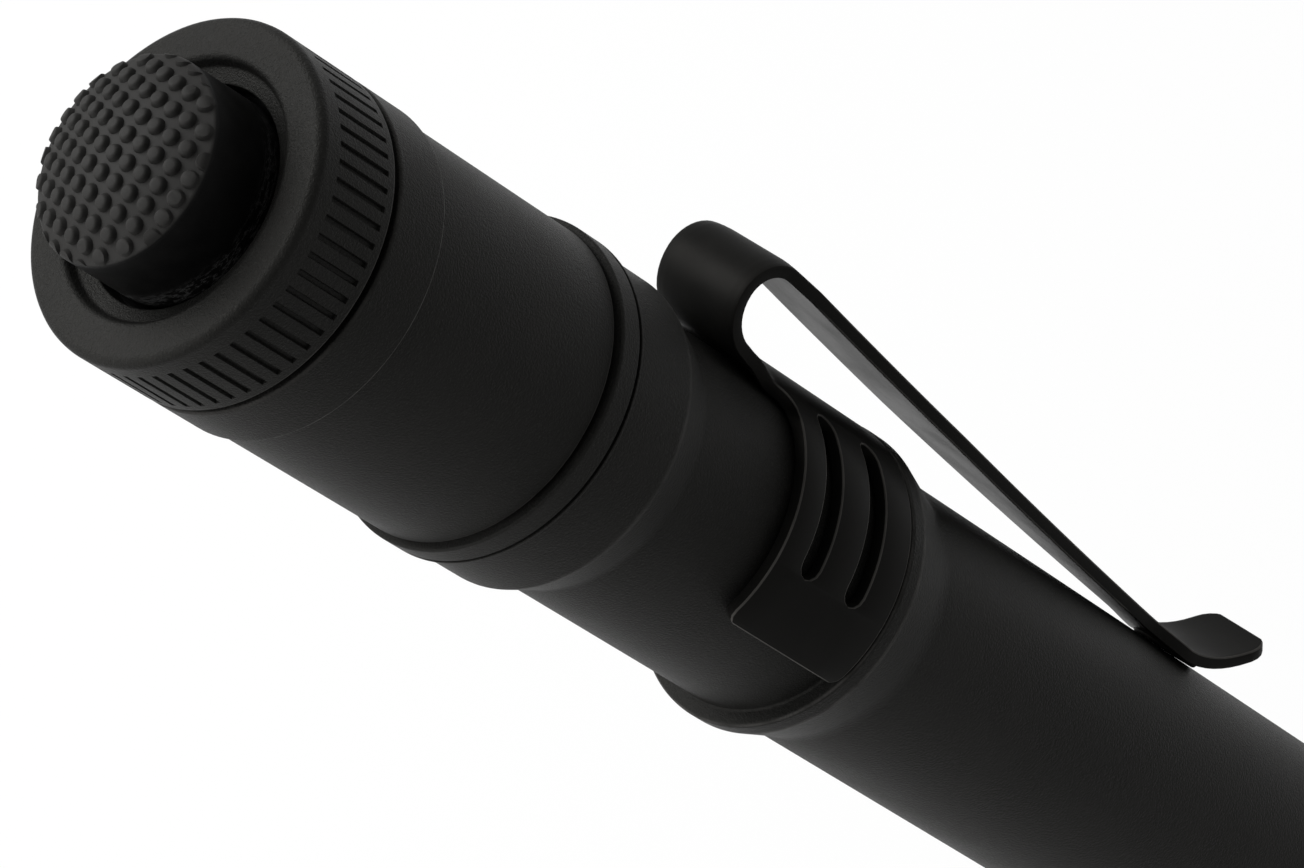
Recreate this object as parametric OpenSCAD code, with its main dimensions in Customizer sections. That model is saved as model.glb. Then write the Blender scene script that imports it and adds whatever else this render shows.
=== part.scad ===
// Penlight for two AAA cells, standing on its lens ring with the push button on top.
// The origin is at the middle of the lens ring's front face, and the light's axis is +Z.
// The clip is on the +X side.

/* [Cells] */
// Radius of one cell
cell_r = 5.25; // [5:0.05:5.3]
// Length of one cell, with its nub
cell_len = 44.5; // [42:0.1:46]
// Radius of the nub at the positive end
cell_nub_r = 1.9; // [1.5:0.1:2.2]
// Length of the nub
cell_nub_len = 0.9; // [0.7:0.1:1.4]
// Radius of the round edge at both ends of the can
cell_edge_r = 0.6; // [0.3:0.1:1]
// Room around a cell in the tube
cell_gap = 0.2; // [0.1:0.05:0.3]

/* [Body tube] */
// Wall of the plain battery tube
tube_wall = 1.55; // [1.4:0.05:2]
// Step from the plain tube out to the front section and the flange
front_step = 0.93; // [0.7:0.01:1.2]
// Step from the plain tube out to the clip neck
neck_step = 0.08; // [0:0.01:0.2]
// Length of the front section, between the joint ring and its slope
front_len = 3.85; // [3:0.05:6]
// Length of the slope from the front section to the neck
front_slope_len = 2.2; // [1:0.1:3]
// Length of the clip neck
neck_len = 15.5; // [14.5:0.1:18]
// Length of the flange under the clip
flange_len = 1; // [0.6:0.1:2]
// Length of the slope from the flange to the plain tube
flange_slope_len = 3; // [1.5:0.1:4]
// Wall of the threaded spigot inside the cap
tail_spigot_wall = 1.17; // [1:0.01:1.3]
// Room between the spigot's end and the cap's shoulder
spigot_gap = 0.2; // [0.1:0.05:0.5]
// Depth of the seat of the joint ring below the front section
joint_seat_depth = 1.05; // [0.8:0.05:1.15]
// Step from the plain tube down to the spigot inside the head
head_spigot_step = 0.7; // [0.5:0.05:0.8]
// Length of the spigot inside the head
head_spigot_len = 7; // [6:0.1:8]

/* [Joint ring] */
// Length of the ring at the seam between cap and body
joint_ring_len = 1.65; // [1:0.05:3]
// Step from the cap's sleeve out to the joint ring
joint_ring_step = 0.3; // [0.1:0.05:0.6]
// Round edge of the joint ring
joint_ring_edge = 0.2; // [0.1:0.05:0.3]
// Open seam between cap and joint ring
seam_gap = 0.2; // [0.1:0.05:0.4]

/* [Tail cap] */
// Radial room between threaded pieces
thread_gap = 0.08; // [0.05:0.01:0.1]
// Wall of the cap's sleeve around the spigot
sleeve_wall = 1.23; // [1:0.01:1.5]
// Length of the sleeve below the collar
sleeve_len = 12.6; // [11:0.1:15]
// Step from the sleeve out to the collar
collar_step = 0.25; // [0.15:0.01:0.5]
// Length of the collar
collar_len = 3.05; // [2:0.05:5]
// Open groove between the collar and the tail ring
cap_groove = 0.35; // [0.2:0.05:0.6]
// Width of the shoulder that stops the spigot
shoulder_w = 1; // [0.6:0.05:1.2]
// Thickness of the web between the button and the switch
web_t = 0.8; // [0.6:0.1:1.2]
// Wall of the threaded neck inside the tail ring
cap_neck_wall = 0.8; // [0.6:0.05:1]
// Small bevel on the cap's outer edges
cap_bevel = 0.15; // [0.05:0.05:0.2]

/* [Tail ring] */
// Length of the tail ring
ring_len = 5; // [4.5:0.1:7]
// Wall of the tail ring around the cap's neck
ring_wall = 1.1; // [0.9:0.05:1.3]
// Thickness of the ring's lip over the button's flange
ring_lip_t = 1.85; // [1.5:0.05:2.2]
// Round outer edge of the ring's face
ring_edge_r = 0.45; // [0.2:0.05:0.6]
// Width of the dish around the button
dish_w = 0.85; // [0.5:0.05:1]
// Depth of the dish
dish_depth = 0.5; // [0.3:0.05:0.8]
// Number of grip slots around the ring
slot_count = 60; // [24:1:72]
// Width of a grip slot
slot_w = 0.38; // [0.25:0.01:0.5]
// Depth of a grip slot
slot_depth = 0.4; // [0.2:0.05:0.6]
// Plain band between the ring's face and the slots
slot_top_lip = 1.25; // [0.8:0.05:2]
// Plain band between the slots and the groove
slot_low_lip = 0.5; // [0.3:0.05:1]

/* [Button] */
// Radius of the button's wall
button_r = 4.95; // [4.5:0.05:5.1]
// Gap between the button and the ring
button_gap = 0.3; // [0.2:0.05:0.4]
// Height of the button's rim over the ring's face
button_rise = 3.05; // [2:0.05:4]
// Height of the dome over the rim
dome_h = 1.15; // [0.6:0.05:1.6]
// Plain edge between the outer bumps and the rim
bump_margin = 0.12; // [0.05:0.01:0.4]
// Thickness of the flange under the ring's lip
button_flange_t = 0.9; // [0.6:0.05:1.2]
// Travel of the button
button_travel = 1.2; // [0.8:0.1:1.5]
// Radius of the hollow inside the button
button_hollow_r = 3.4; // [2.8:0.1:3.8]
// Thickness of the button's top over its hollow
button_top_t = 1.6; // [1.2:0.1:2.2]
// Distance between neighbouring bumps
bump_pitch = 0.97; // [0.9:0.01:1.3]
// Radius of a bump
bump_r = 0.39; // [0.25:0.01:0.42]
// Height of a bump over the dome
bump_h = 0.24; // [0.1:0.02:0.3]
// Angle that the grid of bumps is turned by
bump_turn = -2.7; // [-45:0.1:45]

/* [Switch] */
// Length of the switch housing
switch_len = 4.8; // [4.4:0.1:6]
// Floor and roof of the switch housing
switch_floor_t = 0.8; // [0.6:0.05:1]
// Radius of the switch chamber
switch_chamber_r = 2.6; // [2.5:0.1:3.2]
// Radius of the plunger's stem
plunger_r = 1.6; // [1.2:0.1:1.8]
// Thickness of the plunger's flange
plunger_flange_t = 0.5; // [0.4:0.05:0.7]
// Thickness of the fixed contact
contact_t = 0.3; // [0.2:0.05:0.4]
// Wire radius of the switch spring
switch_wire_r = 0.13; // [0.1:0.01:0.15]
// Turns of the switch spring
switch_turns = 2; // [2:1:3]
// Thickness of the switch board
board_t = 0.8; // [0.6:0.1:1.2]
// Thickness of the ring that holds the board
retainer_t = 1.6; // [1.2:0.1:2]
// Width of that ring
retainer_w = 1.5; // [1:0.1:1.8]
// Room between pieces that are only laid in
fit_gap = 0.1; // [0.05:0.01:0.12]

/* [Battery spring] */
// Length of the battery spring when it presses on the cells
battery_spring_len = 7.2; // [6:0.1:9]
// Radius of its wide end, at the board
battery_spring_r = 3; // [2.6:0.1:3.4]
// Radius of its narrow end, at the cell
battery_spring_tip_r = 2.2; // [1.8:0.1:2.6]
// Wire radius
battery_wire_r = 0.3; // [0.2:0.05:0.35]
// Number of turns
battery_turns = 5; // [4:1:5]

/* [Seals] */
// Share of a spigot's wall that is the radius of its seal's cord
seal_share = 0.36; // [0.25:0.01:0.42]
// Distance from the joint ring to the cap's seal
cap_seal_offset = 1.6; // [1.2:0.1:3]
// Distance from the tube's shoulder to the head's seal
head_seal_offset = 1.6; // [1.2:0.1:3]

/* [Clip] */
// Thickness of the spring strip
clip_t = 0.65; // [0.5:0.05:0.75]
// Width of the root strip and the loop
clip_w = 6; // [5:0.1:7]
// Room between neck and band
clip_gap = 0.17; // [0.1:0.01:0.25]
// Length of the band along the light
band_len = 8.6; // [7:0.1:9]
// Angle from the middle of the clip to each end of the band
band_angle = 113; // [95:1:140]
// Radius of the band's corners
band_corner_r = 0.6; // [0.4:0.1:2]
// How far the round corners' middles stand in from the band's edges, as a share of their radius
corner_in_share = 0.97; // [0.94:0.01:0.98]
// Width of the slots in the band
band_slot_w = 1.3; // [0.8:0.1:1.6]
// Distance from the band's tail edge to the first slot
band_slot_offset = 1.7; // [1.2:0.1:2]
// Distance between the slots' middles
band_slot_pitch = 3.5; // [2.5:0.1:4]
// Angle from the middle of the clip to the near end of a slot
band_slot_start = 24; // [20:1:40]
// Angle from the middle of the clip to the far end of a slot
band_slot_end = 87; // [60:1:90]
// Distance from the band to the far side of the loop
loop_back = 6.2; // [4:0.1:7]
// Outer radius of the loop's upper bend
loop_top_r = 2.2; // [1.5:0.05:2.6]
// Outer radius of the loop's lower bend
loop_low_r = 2.8; // [2:0.05:3.2]
// How far the flat root strip stands in from the band's bore
strip_step = 0.05; // [0.03:0.01:0.08]
// Angle that the upper bend runs on past its top
loop_over = 8; // [4:1:9]
// Length of the arm from the loop's top to its lowest point
arm_len = 39.2; // [30:0.1:45]
// Depth of the arm's gentle curve
arm_sag = 0.29; // [0:0.01:0.4]
// Width of the arm at its waist, before the tip
arm_end_w = 3.3; // [2.6:0.1:5]
// How much of the arm keeps the loop's width, as a share of its length
arm_root_share = 0.41; // [0.3:0.01:0.42]
// How much of the arm narrows from the loop's width to its waist's, as a share of its length
arm_taper_share = 0.51; // [0.4:0.01:0.55]
// Room between the arm's lowest point and the tube
arm_gap = 0.1; // [0.05:0.05:0.3]
// Length of the flicked tip
tip_len = 4.9; // [4:0.1:7]
// Rise of the tip
tip_rise = 2.35; // [1:0.05:3]
// Width of the tip
tip_w = 4.6; // [3.4:0.1:6]
// Radius of the tip's corners
tip_corner_r = 0.9; // [0.4:0.1:1.5]
// Width of the joint line between loop and arm
arm_joint_gap = 0.05; // [0.02:0.01:0.1]

/* [Head] */
// Step from the plain tube out to the head
head_step = 0.7; // [0.4:0.05:1.2]
// Length of the slope from the head to the tube
head_slope_len = 2; // [1:0.1:3]
// Length of the bezel ring that shows
bezel_len = 4.2; // [3:0.1:6]
// Length of the bezel's threaded part inside the head
bezel_thread_len = 3.5; // [2.5:0.1:4.5]
// Thickness of the bezel's front lip
bezel_lip_t = 1.2; // [0.8:0.1:2]
// Width of the bezel's front face
bezel_face_w = 1.7; // [1.4:0.1:2]
// Wall of the bezel around the lens
bezel_wall = 0.65; // [0.55:0.05:0.75]
// Wall of the head shell around the bezel's thread
head_wall = 0.65; // [0.55:0.05:0.75]
// Bevel of the bezel's front edge
bezel_bevel = 0.5; // [0.2:0.05:0.7]
// Thickness of the lens gasket
gasket_t = 0.5; // [0.3:0.05:0.8]
// Thickness of the lens window
lens_t = 1.6; // [1:0.1:2]
// Length of the reflector
reflector_len = 9; // [7:0.1:12]
// Wall of the reflector
reflector_wall = 0.5; // [0.4:0.05:0.7]
// Radius of the reflector's hole for the lamp
reflector_hole_r = 2.6; // [2.5:0.1:3.2]
// Side of the lamp's square base
led_side = 3.4; // [3:0.1:3.4]
// Thickness of the lamp's base
led_base_t = 0.6; // [0.4:0.05:0.8]
// Radius of the lamp's dome
led_dome_r = 1.3; // [1:0.05:1.45]
// Thickness of the lamp's board
led_board_t = 1.2; // [0.8:0.1:1.6]
// Length of the heat sink
sink_len = 10.5; // [8:0.1:14]
// Thickness of the heat sink's front plate
sink_plate_t = 3; // [2:0.1:4]
// Wall of the heat sink's cup
sink_wall = 0.9; // [0.6:0.05:1.2]
// Thickness of the driver board
driver_t = 1; // [0.6:0.1:1.6]
// Radius of the contact stud
stud_r = 1.6; // [1.2:0.1:2]
// Radius of the stud's foot
stud_foot_r = 3; // [2.2:0.1:3.6]
// Thickness of the stud's foot
stud_foot_t = 1; // [0.6:0.1:1.5]
// Length of the stud with its foot
stud_len = 7; // [5:0.1:8]

/* [Hidden] */

$fn = 96;
// Overrun of a cut past the face that it opens
over = 0.5;
// Straight steps in a quarter of a small round
round_steps = 6;
// Straight steps along the arm, along its tip and around the reflector
arm_steps = 12;
tip_steps = 10;
bowl_steps = 12;
// Sides of a spring's wire, and rings along one turn
coil_sides = 6;
coil_rings = 8;

// Radii, from the cells outward
tube_bore_r = cell_r + cell_gap;
tube_r = tube_bore_r + tube_wall;
front_r = tube_r + front_step;
neck_r = tube_r + neck_step;
tail_spigot_r = tube_bore_r + tail_spigot_wall;
sleeve_bore_r = tail_spigot_r + thread_gap;
sleeve_r = sleeve_bore_r + sleeve_wall;
collar_r = sleeve_r + collar_step;
joint_ring_r = sleeve_r + joint_ring_step;
joint_seat_r = front_r - joint_seat_depth;
cap_seal_r = tail_spigot_wall * seal_share;
switch_bore_r = sleeve_bore_r - shoulder_w;
board_r = switch_bore_r - fit_gap;
cap_neck_r = collar_r - ring_wall - thread_gap;
button_chamber_r = cap_neck_r - cap_neck_wall;
button_flange_r = button_chamber_r - fit_gap;
button_hole_r = button_r + button_gap;
dish_r = button_hole_r + dish_w;

// Heights of the head's pieces, up from the bezel's face
gasket_z = bezel_lip_t;
lens_z = gasket_z + gasket_t;
reflector_z = lens_z + lens_t;
led_board_z = reflector_z + reflector_len;
sink_z = led_board_z + led_board_t;
driver_z = sink_z + sink_len - driver_t;
stud_z = driver_z + driver_t;
front_cell_z = stud_z + stud_len;
rear_cell_z = front_cell_z + cell_len;
cells_top_z = rear_cell_z + cell_len;

// Heights of the tail's pieces, up from the cells
spring_z = cells_top_z + fit_gap;
board_z = spring_z + battery_spring_len;
switch_z = board_z + board_t;
web_z = switch_z + switch_len;
chamber_z = web_z + web_t;
flange_z = chamber_z + button_travel + fit_gap;
lip_z = flange_z + button_flange_t + fit_gap;
face_z = lip_z + ring_lip_t;

// Heights of the outside, down from the ring's face
ring_low_z = face_z - ring_len;
collar_top_z = ring_low_z - cap_groove;
collar_low_z = collar_top_z - collar_len;
sleeve_low_z = collar_low_z - sleeve_len;
joint_top_z = sleeve_low_z - seam_gap;
front_top_z = joint_top_z - joint_ring_len;
front_low_z = front_top_z - front_len;
neck_top_z = front_low_z - front_slope_len;
neck_low_z = neck_top_z - neck_len;
flange_low_z = neck_low_z - flange_len;
tube_top_z = flange_low_z - flange_slope_len;
shoulder_z = board_z - retainer_t - fit_gap;
tail_spigot_z = shoulder_z - spigot_gap;
rim_z = face_z + button_rise;

// Head
head_r = tube_r + head_step;
head_spigot_r = tube_r - head_spigot_step;
head_seal_r = (head_spigot_r - tube_bore_r) * seal_share;
head_spigot_z = stud_z + fit_gap;
tube_low_z = head_spigot_z + head_spigot_len;
head_top_z = tube_low_z - seam_gap;
bezel_thread_r = head_r - head_wall - thread_gap;
lens_seat_r = bezel_thread_r - bezel_wall;
bezel_hole_r = head_r - bezel_face_w - bezel_bevel;
bezel_top_z = bezel_len + bezel_thread_len;
sink_r = bezel_thread_r - head_wall;
head_bore_r = sink_r + fit_gap;
lens_r = lens_seat_r - fit_gap;
driver_r = sink_r - sink_wall - fit_gap;
led_board_r = driver_r;

// Button dome, a ball that passes through the rim and the top
dome_ball_r = (pow(button_r, 2) + pow(dome_h, 2)) / (2 * dome_h);
dome_ball_z = rim_z + dome_h - dome_ball_r;
bump_reach = button_r - bump_r - bump_margin;
bump_lines = ceil(bump_reach / bump_pitch);
hollow_top_z = rim_z - button_top_t;

// Switch
plunger_low_z = web_z - switch_floor_t - fit_gap - plunger_flange_t;
contact_z = switch_z + switch_floor_t;
plunger_hole_r = plunger_r + fit_gap;
plunger_flange_r = switch_chamber_r - fit_gap;
switch_spring_r = plunger_flange_r - switch_wire_r - fit_gap;

// Clip, in the plane through the light's axis
band_r = neck_r + clip_gap;
band_low_z = neck_low_z + fit_gap;
band_top_z = band_low_z + band_len;
strip_x = band_r - strip_step;
loop_x = strip_x + loop_low_r;
loop_tail_z = band_top_z + loop_back;
loop_top_z = loop_tail_z - loop_top_r;
loop_low_z = loop_tail_z - loop_low_r;
strip_mid_z = (band_top_z + loop_low_z) / 2;
strip_edge_angle = asin(clip_w / 2 / band_r);
// The hinge line is the strip's outer face where the loop ends
hinge_x = loop_x + loop_top_r * cos(loop_over);
hinge_z = loop_top_z - loop_top_r * sin(loop_over);
arm_start = [hinge_x - clip_t / 2 * cos(loop_over), hinge_z + clip_t / 2 * sin(loop_over)];
arm_low = [tube_r + arm_gap + clip_t / 2, loop_top_z - arm_len];
taper_top_z = loop_top_z - arm_len * arm_root_share;
taper_low_z = taper_top_z - arm_len * arm_taper_share;
arm_run = arm_low - arm_start;
arm_side = [-arm_run[1], arm_run[0]] / norm(arm_run);
arm_line = [for (i = [0:arm_steps - 1]) let (t = i / arm_steps)
    arm_start + arm_run * t - arm_side * 4 * arm_sag * t * (1 - t)];
// One step more than the tip's length, which its outline from above trims
tip_line = [for (i = [0:tip_steps + 1]) let (t = i / tip_steps)
    arm_low + [tip_rise * pow(t, 2), -tip_len * t]];
strip_line = concat(arm_line, tip_line);
tip_z = loop_top_z - arm_len - tip_len;

// Points of a round, from one angle to another
function arc(centre, r, from, to) =
    [for (i = [0:round_steps]) let (a = from + (to - from) * i / round_steps)
        centre + r * [cos(a), sin(a)]];

// Unit vector square to a line of points, at point i
function side_at(line, i) =
    let (d = line[min(i + 1, len(line) - 1)] - line[max(i - 1, 0)])
    [-d[1], d[0]] / norm(d);

// Outline of a strip of thickness t along a line of points
function strip_outline(line, t) = concat(
    [for (i = [0:len(line) - 1]) line[i] + side_at(line, i) * t / 2],
    [for (i = [len(line) - 1:-1:0]) line[i] - side_at(line, i) * t / 2]);

// Plain ring between two radii
module ring(r_out, r_in, h) {
    difference() {
        cylinder(r = r_out, h = h);
        translate([0, 0, -over]) cylinder(r = r_in, h = h + 2 * over);
    }
}

// Ring of round cord around the axis
module cord_ring(r_mid, r_cord) {
    rotate_extrude() translate([r_mid, 0]) circle(r = r_cord, $fn = 32);
}

// Wire spring, standing on z = 0, from a low radius to a high one
module coil(r_low, r_high, height, turns, wire_r) {
    count = coil_rings * turns;
    centres = [for (i = [0:count]) let (t = i / count, a = 360 * turns * t)
        [r_low + (r_high - r_low) * t, a, wire_r + (height - 2 * wire_r) * t]];
    points = [for (c = centres, k = [0:coil_sides - 1]) let (b = 360 * k / coil_sides)
        [(c[0] + wire_r * cos(b)) * cos(c[1]), (c[0] + wire_r * cos(b)) * sin(c[1]), c[2] + wire_r * sin(b)]];
    walls = [for (i = [0:count - 1], k = [0:coil_sides - 1])
        let (a = i * coil_sides + k, b = i * coil_sides + (k + 1) % coil_sides)
        each [[a, b, b + coil_sides], [a, b + coil_sides, a + coil_sides]]];
    last = count * coil_sides;
    ends = [for (k = [1:coil_sides - 2]) each [[0, k + 1, k], [last, last + k, last + k + 1]]];
    polyhedron(points, concat(walls, ends));
    gaps = [for (i = [0:count - coil_rings])
        norm([centres[i + coil_rings][0] - centres[i][0], centres[i + coil_rings][2] - centres[i][2]])
        - 2 * wire_r];
    echo(least_gap_between_turns = min(gaps));
}

// Rubber button, with its flange under the ring's lip and a post down to the plunger
module switch_button() {
    color("#242424") difference() {
        union() {
            translate([0, 0, flange_z]) cylinder(r = button_flange_r, h = button_flange_t);
            intersection() {
                translate([0, 0, dome_ball_z]) sphere(r = dome_ball_r);
                translate([0, 0, flange_z]) cylinder(r = button_r, h = rim_z - flange_z + dome_h + over);
            }
            bumps();
        }
        translate([0, 0, flange_z - over])
            ring(button_hollow_r, plunger_r, hollow_top_z - flange_z + over);
    }
}

// Square grid of bumps, each upright on the dome, with the button's middle between two rows
module bumps() {
    for (row = [-bump_lines:bump_lines - 1], column = [-bump_lines:bump_lines]) {
        x = column * bump_pitch;
        y = (row + 1 / 2) * bump_pitch;
        reach = norm([x, y]);
        if (reach <= bump_reach)
            translate([0, 0, dome_ball_z])
                rotate([0, asin(reach / dome_ball_r), atan2(y, x) + bump_turn])
                    translate([0, 0, dome_ball_r - bump_r]) cylinder(r = bump_r, h = bump_r + bump_h, $fn = 24);
    }
}

// Slotted ring at the tail, threaded over the cap's neck
module tail_ring() {
    edge = [collar_r - ring_edge_r, face_z - ring_edge_r];
    dish_edge = dish_depth / 2;
    outline = concat(
        [[cap_neck_r + thread_gap, ring_low_z], [collar_r, ring_low_z]],
        arc(edge, ring_edge_r, 0, 90),
        arc([dish_r + dish_edge, face_z - dish_edge], dish_edge, 90, 180),
        [[dish_r - dish_edge, face_z - dish_depth], [button_hole_r, face_z - dish_depth - dish_edge],
         [button_hole_r, lip_z], [cap_neck_r + thread_gap, lip_z]]);
    slot_len = ring_len - slot_top_lip - slot_low_lip;
    color("#2a2a2a") difference() {
        rotate_extrude() polygon(outline);
        for (i = [0:slot_count - 1])
            rotate([0, 0, 360 * i / slot_count])
                translate([collar_r - slot_depth, -slot_w / 2, ring_low_z + slot_low_lip])
                    cube([slot_depth + over, slot_w, slot_len]);
    }
}

// Cap shell: neck, collar and sleeve outside; button chamber, web, switch bore and thread inside
module tail_cap() {
    outline = [
        [sleeve_bore_r, sleeve_low_z], [sleeve_r - cap_bevel, sleeve_low_z], [sleeve_r, sleeve_low_z + cap_bevel],
        [sleeve_r, collar_low_z], [collar_r, collar_low_z], [collar_r, collar_top_z - cap_bevel],
        [collar_r - cap_bevel, collar_top_z], [cap_neck_r, collar_top_z], [cap_neck_r, lip_z],
        [button_chamber_r, lip_z], [button_chamber_r, chamber_z], [plunger_hole_r, chamber_z],
        [plunger_hole_r, web_z], [switch_bore_r, web_z], [switch_bore_r, shoulder_z],
        [sleeve_bore_r, shoulder_z]];
    color("#262626") rotate_extrude() polygon(outline);
}

// Plunger, from the spring in the switch up to the button's post
module switch_plunger() {
    color("ivory") {
        translate([0, 0, plunger_low_z]) cylinder(r = plunger_flange_r, h = plunger_flange_t);
        translate([0, 0, plunger_low_z]) cylinder(r = plunger_r, h = flange_z - plunger_low_z);
    }
}

// Return spring between the fixed contact and the plunger
module switch_spring() {
    low = contact_z + contact_t;
    color("silver") translate([0, 0, low])
        coil(switch_spring_r, switch_spring_r, plunger_low_z - low, switch_turns, switch_wire_r);
}

// Switch housing with its chamber
module switch_body() {
    color("#3a3a3a") difference() {
        translate([0, 0, switch_z]) cylinder(r = board_r, h = switch_len - fit_gap);
        translate([0, 0, contact_z]) cylinder(r = switch_chamber_r, h = switch_len - 2 * switch_floor_t - fit_gap);
        translate([0, 0, contact_z]) cylinder(r = plunger_hole_r, h = switch_len);
    }
}

// Fixed contact on the floor of the switch chamber
module switch_contact() {
    color("gold") translate([0, 0, contact_z]) cylinder(r = plunger_flange_r, h = contact_t);
}

// Board between the switch and the battery spring
module switch_board() {
    color("darkgreen") translate([0, 0, board_z]) cylinder(r = board_r, h = board_t);
}

// Threaded ring that holds the board in the cap
module retaining_ring() {
    color("silver") translate([0, 0, board_z - retainer_t]) ring(board_r, board_r - retainer_w, retainer_t);
}

// Negative contact spring, narrow at the cell and wide at the board
module battery_spring() {
    color("gold") translate([0, 0, spring_z])
        coil(battery_spring_tip_r, battery_spring_r, battery_spring_len, battery_turns, battery_wire_r);
}

// O-ring in the groove of the body's spigot
module cap_seal() {
    color("#101010") translate([0, 0, joint_top_z + cap_seal_offset])
        cord_ring(tail_spigot_r - cap_seal_r + thread_gap / 2, cap_seal_r);
}

// Ring at the seam, seated on the body
module joint_ring() {
    inner = joint_seat_r + fit_gap / 2;
    low = [joint_ring_r - joint_ring_edge, front_top_z + fit_gap + joint_ring_edge];
    top = [joint_ring_r - joint_ring_edge, joint_top_z - joint_ring_edge];
    color("#262626") rotate_extrude() polygon(concat(
        [[inner, front_top_z + fit_gap]],
        arc(low, joint_ring_edge, -90, 0),
        arc(top, joint_ring_edge, 0, 90),
        [[inner, joint_top_z]]));
}

// Groove for an O-ring
module seal_groove(spigot_r, cord_r, z) {
    translate([0, 0, z - cord_r - fit_gap / 2])
        ring(spigot_r + over, spigot_r - 2 * cord_r, 2 * cord_r + fit_gap);
}

// Body: spigot into the head, plain tube, flange, clip neck, front section, ring seat and threaded spigot
module body_tube() {
    outline = [
        [tube_bore_r, head_spigot_z], [head_spigot_r, head_spigot_z], [head_spigot_r, tube_low_z],
        [tube_r, tube_low_z], [tube_r, tube_top_z], [front_r, flange_low_z], [front_r, neck_low_z],
        [neck_r, neck_low_z], [neck_r, neck_top_z], [front_r, front_low_z], [front_r, front_top_z],
        [joint_seat_r, front_top_z], [joint_seat_r, joint_top_z], [tail_spigot_r, joint_top_z],
        [tail_spigot_r, tail_spigot_z], [tube_bore_r, tail_spigot_z]];
    color("#262626") difference() {
        rotate_extrude() polygon(outline);
        seal_groove(tail_spigot_r, cap_seal_r, joint_top_z + cap_seal_offset);
        seal_groove(head_spigot_r, head_seal_r, tube_low_z - head_seal_offset);
    }
}

// Part of a tube wall between two angles and two heights
module wall_sector(r_in, r_out, from, to, low, high) {
    rotate([0, 0, from]) rotate_extrude(angle = to - from)
        translate([r_in, low]) square([r_out - r_in, high - low]);
}

// Slot around the band with round ends
module band_slot(z, from, to) {
    half = band_slot_w / 2;
    end_angle = half / (band_r + clip_t / 2) * 180 / PI;
    wall_sector(band_r - over, band_r + clip_t + over, from + end_angle, to - end_angle, z - half, z + half);
    for (a = [from + end_angle, to - end_angle])
        rotate([0, 0, a]) translate([band_r - over, 0, z]) rotate([0, 90, 0])
            cylinder(r = half, h = clip_t + 2 * over, $fn = 32);
}

// What a round corner takes off the band, at one end of one edge
module band_corner(side, edge_z, inward) {
    turn = band_corner_r / (band_r + clip_t / 2) * 180 / PI;
    corner_angle = side * (band_angle - turn);
    past_angle = side * (band_angle + turn);
    middle_z = edge_z + inward * band_corner_r * corner_in_share;
    past_z = edge_z - inward * over;
    difference() {
        wall_sector(band_r - over, band_r + clip_t + over, min(corner_angle, past_angle),
            max(corner_angle, past_angle), min(middle_z, past_z), max(middle_z, past_z));
        rotate([0, 0, corner_angle]) translate([band_r - 2 * over, 0, middle_z]) rotate([0, 90, 0])
            cylinder(r = band_corner_r, h = clip_t + 4 * over, $fn = 48);
    }
}

// What is cut away on one side of the root strip, from the band's tail edge up
module strip_side(side) {
    past_angle = (band_angle + 180) / 2;
    from = side > 0 ? strip_edge_angle : -past_angle;
    wall_sector(band_r - over, band_r + clip_t + over, from, from + past_angle - strip_edge_angle,
        band_top_z, strip_mid_z + over);
}

// Quarter of a bent strip, between its outer radius and the strip's thickness
module bend(r_out, from, to) {
    reach = 2 * r_out;
    middle = (from + to) / 2;
    intersection() {
        difference() {
            circle(r = r_out);
            circle(r = r_out - clip_t);
        }
        polygon([[0, 0], reach * [cos(from), sin(from)], reach * [cos(middle), sin(middle)],
            reach * [cos(to), sin(to)]]);
    }
}

// The clip's band around the neck, its root strip and the loop up to the arm
module clip_band() {
    strip_low_z = band_top_z + clip_t;
    color("#1c1c1c") {
        difference() {
            wall_sector(band_r, band_r + clip_t, -band_angle, band_angle, band_low_z, strip_mid_z);
            for (side = [-1, 1], k = [0, 1]) {
                z = band_top_z - band_slot_offset - band_slot_w / 2 - k * band_slot_pitch;
                from = side > 0 ? band_slot_start : -band_slot_end;
                band_slot(z, from, from + band_slot_end - band_slot_start);
            }
            for (side = [-1, 1]) {
                strip_side(side);
                band_corner(side, band_top_z, -1);
                band_corner(side, band_low_z, 1);
            }
        }
        rotate([90, 0, 0]) linear_extrude(height = clip_w, center = true) {
            translate([strip_x, strip_low_z]) square([clip_t, loop_low_z - strip_low_z]);
            translate([loop_x, loop_low_z]) bend(loop_low_r, 90, 180);
            translate([loop_x, loop_top_z]) bend(loop_top_r, -loop_over, 90);
        }
    }
}

// The clip's arm and its flicked tip, seen from the side and from above
module clip_arm() {
    joint = arm_joint_gap / norm(arm_run);
    tip_half = tip_w / 2;
    corner_z = tip_z + tip_corner_r;
    start_z = hinge_z + over;
    color("#1c1c1c") intersection() {
        rotate([90, 0, 0]) linear_extrude(height = clip_w, center = true)
            polygon(strip_outline(concat([arm_start + arm_run * joint], [for (i = [1:len(strip_line) - 1])
                strip_line[i]]), clip_t));
        translate([tube_r - over, 0, 0]) rotate([0, 90, 0])
            linear_extrude(height = hinge_x - tube_r + 2 * over)
                polygon(concat(
                    [[-start_z, -clip_w / 2], [-taper_top_z, -clip_w / 2], [-taper_low_z, -arm_end_w / 2],
                     [-arm_low[1], -tip_half]],
                    arc([-corner_z, -tip_half + tip_corner_r], tip_corner_r, -90, 0),
                    arc([-corner_z, tip_half - tip_corner_r], tip_corner_r, 0, 90),
                    [[-arm_low[1], tip_half], [-taper_low_z, arm_end_w / 2], [-taper_top_z, clip_w / 2],
                     [-start_z, clip_w / 2]]));
    }
}

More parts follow.
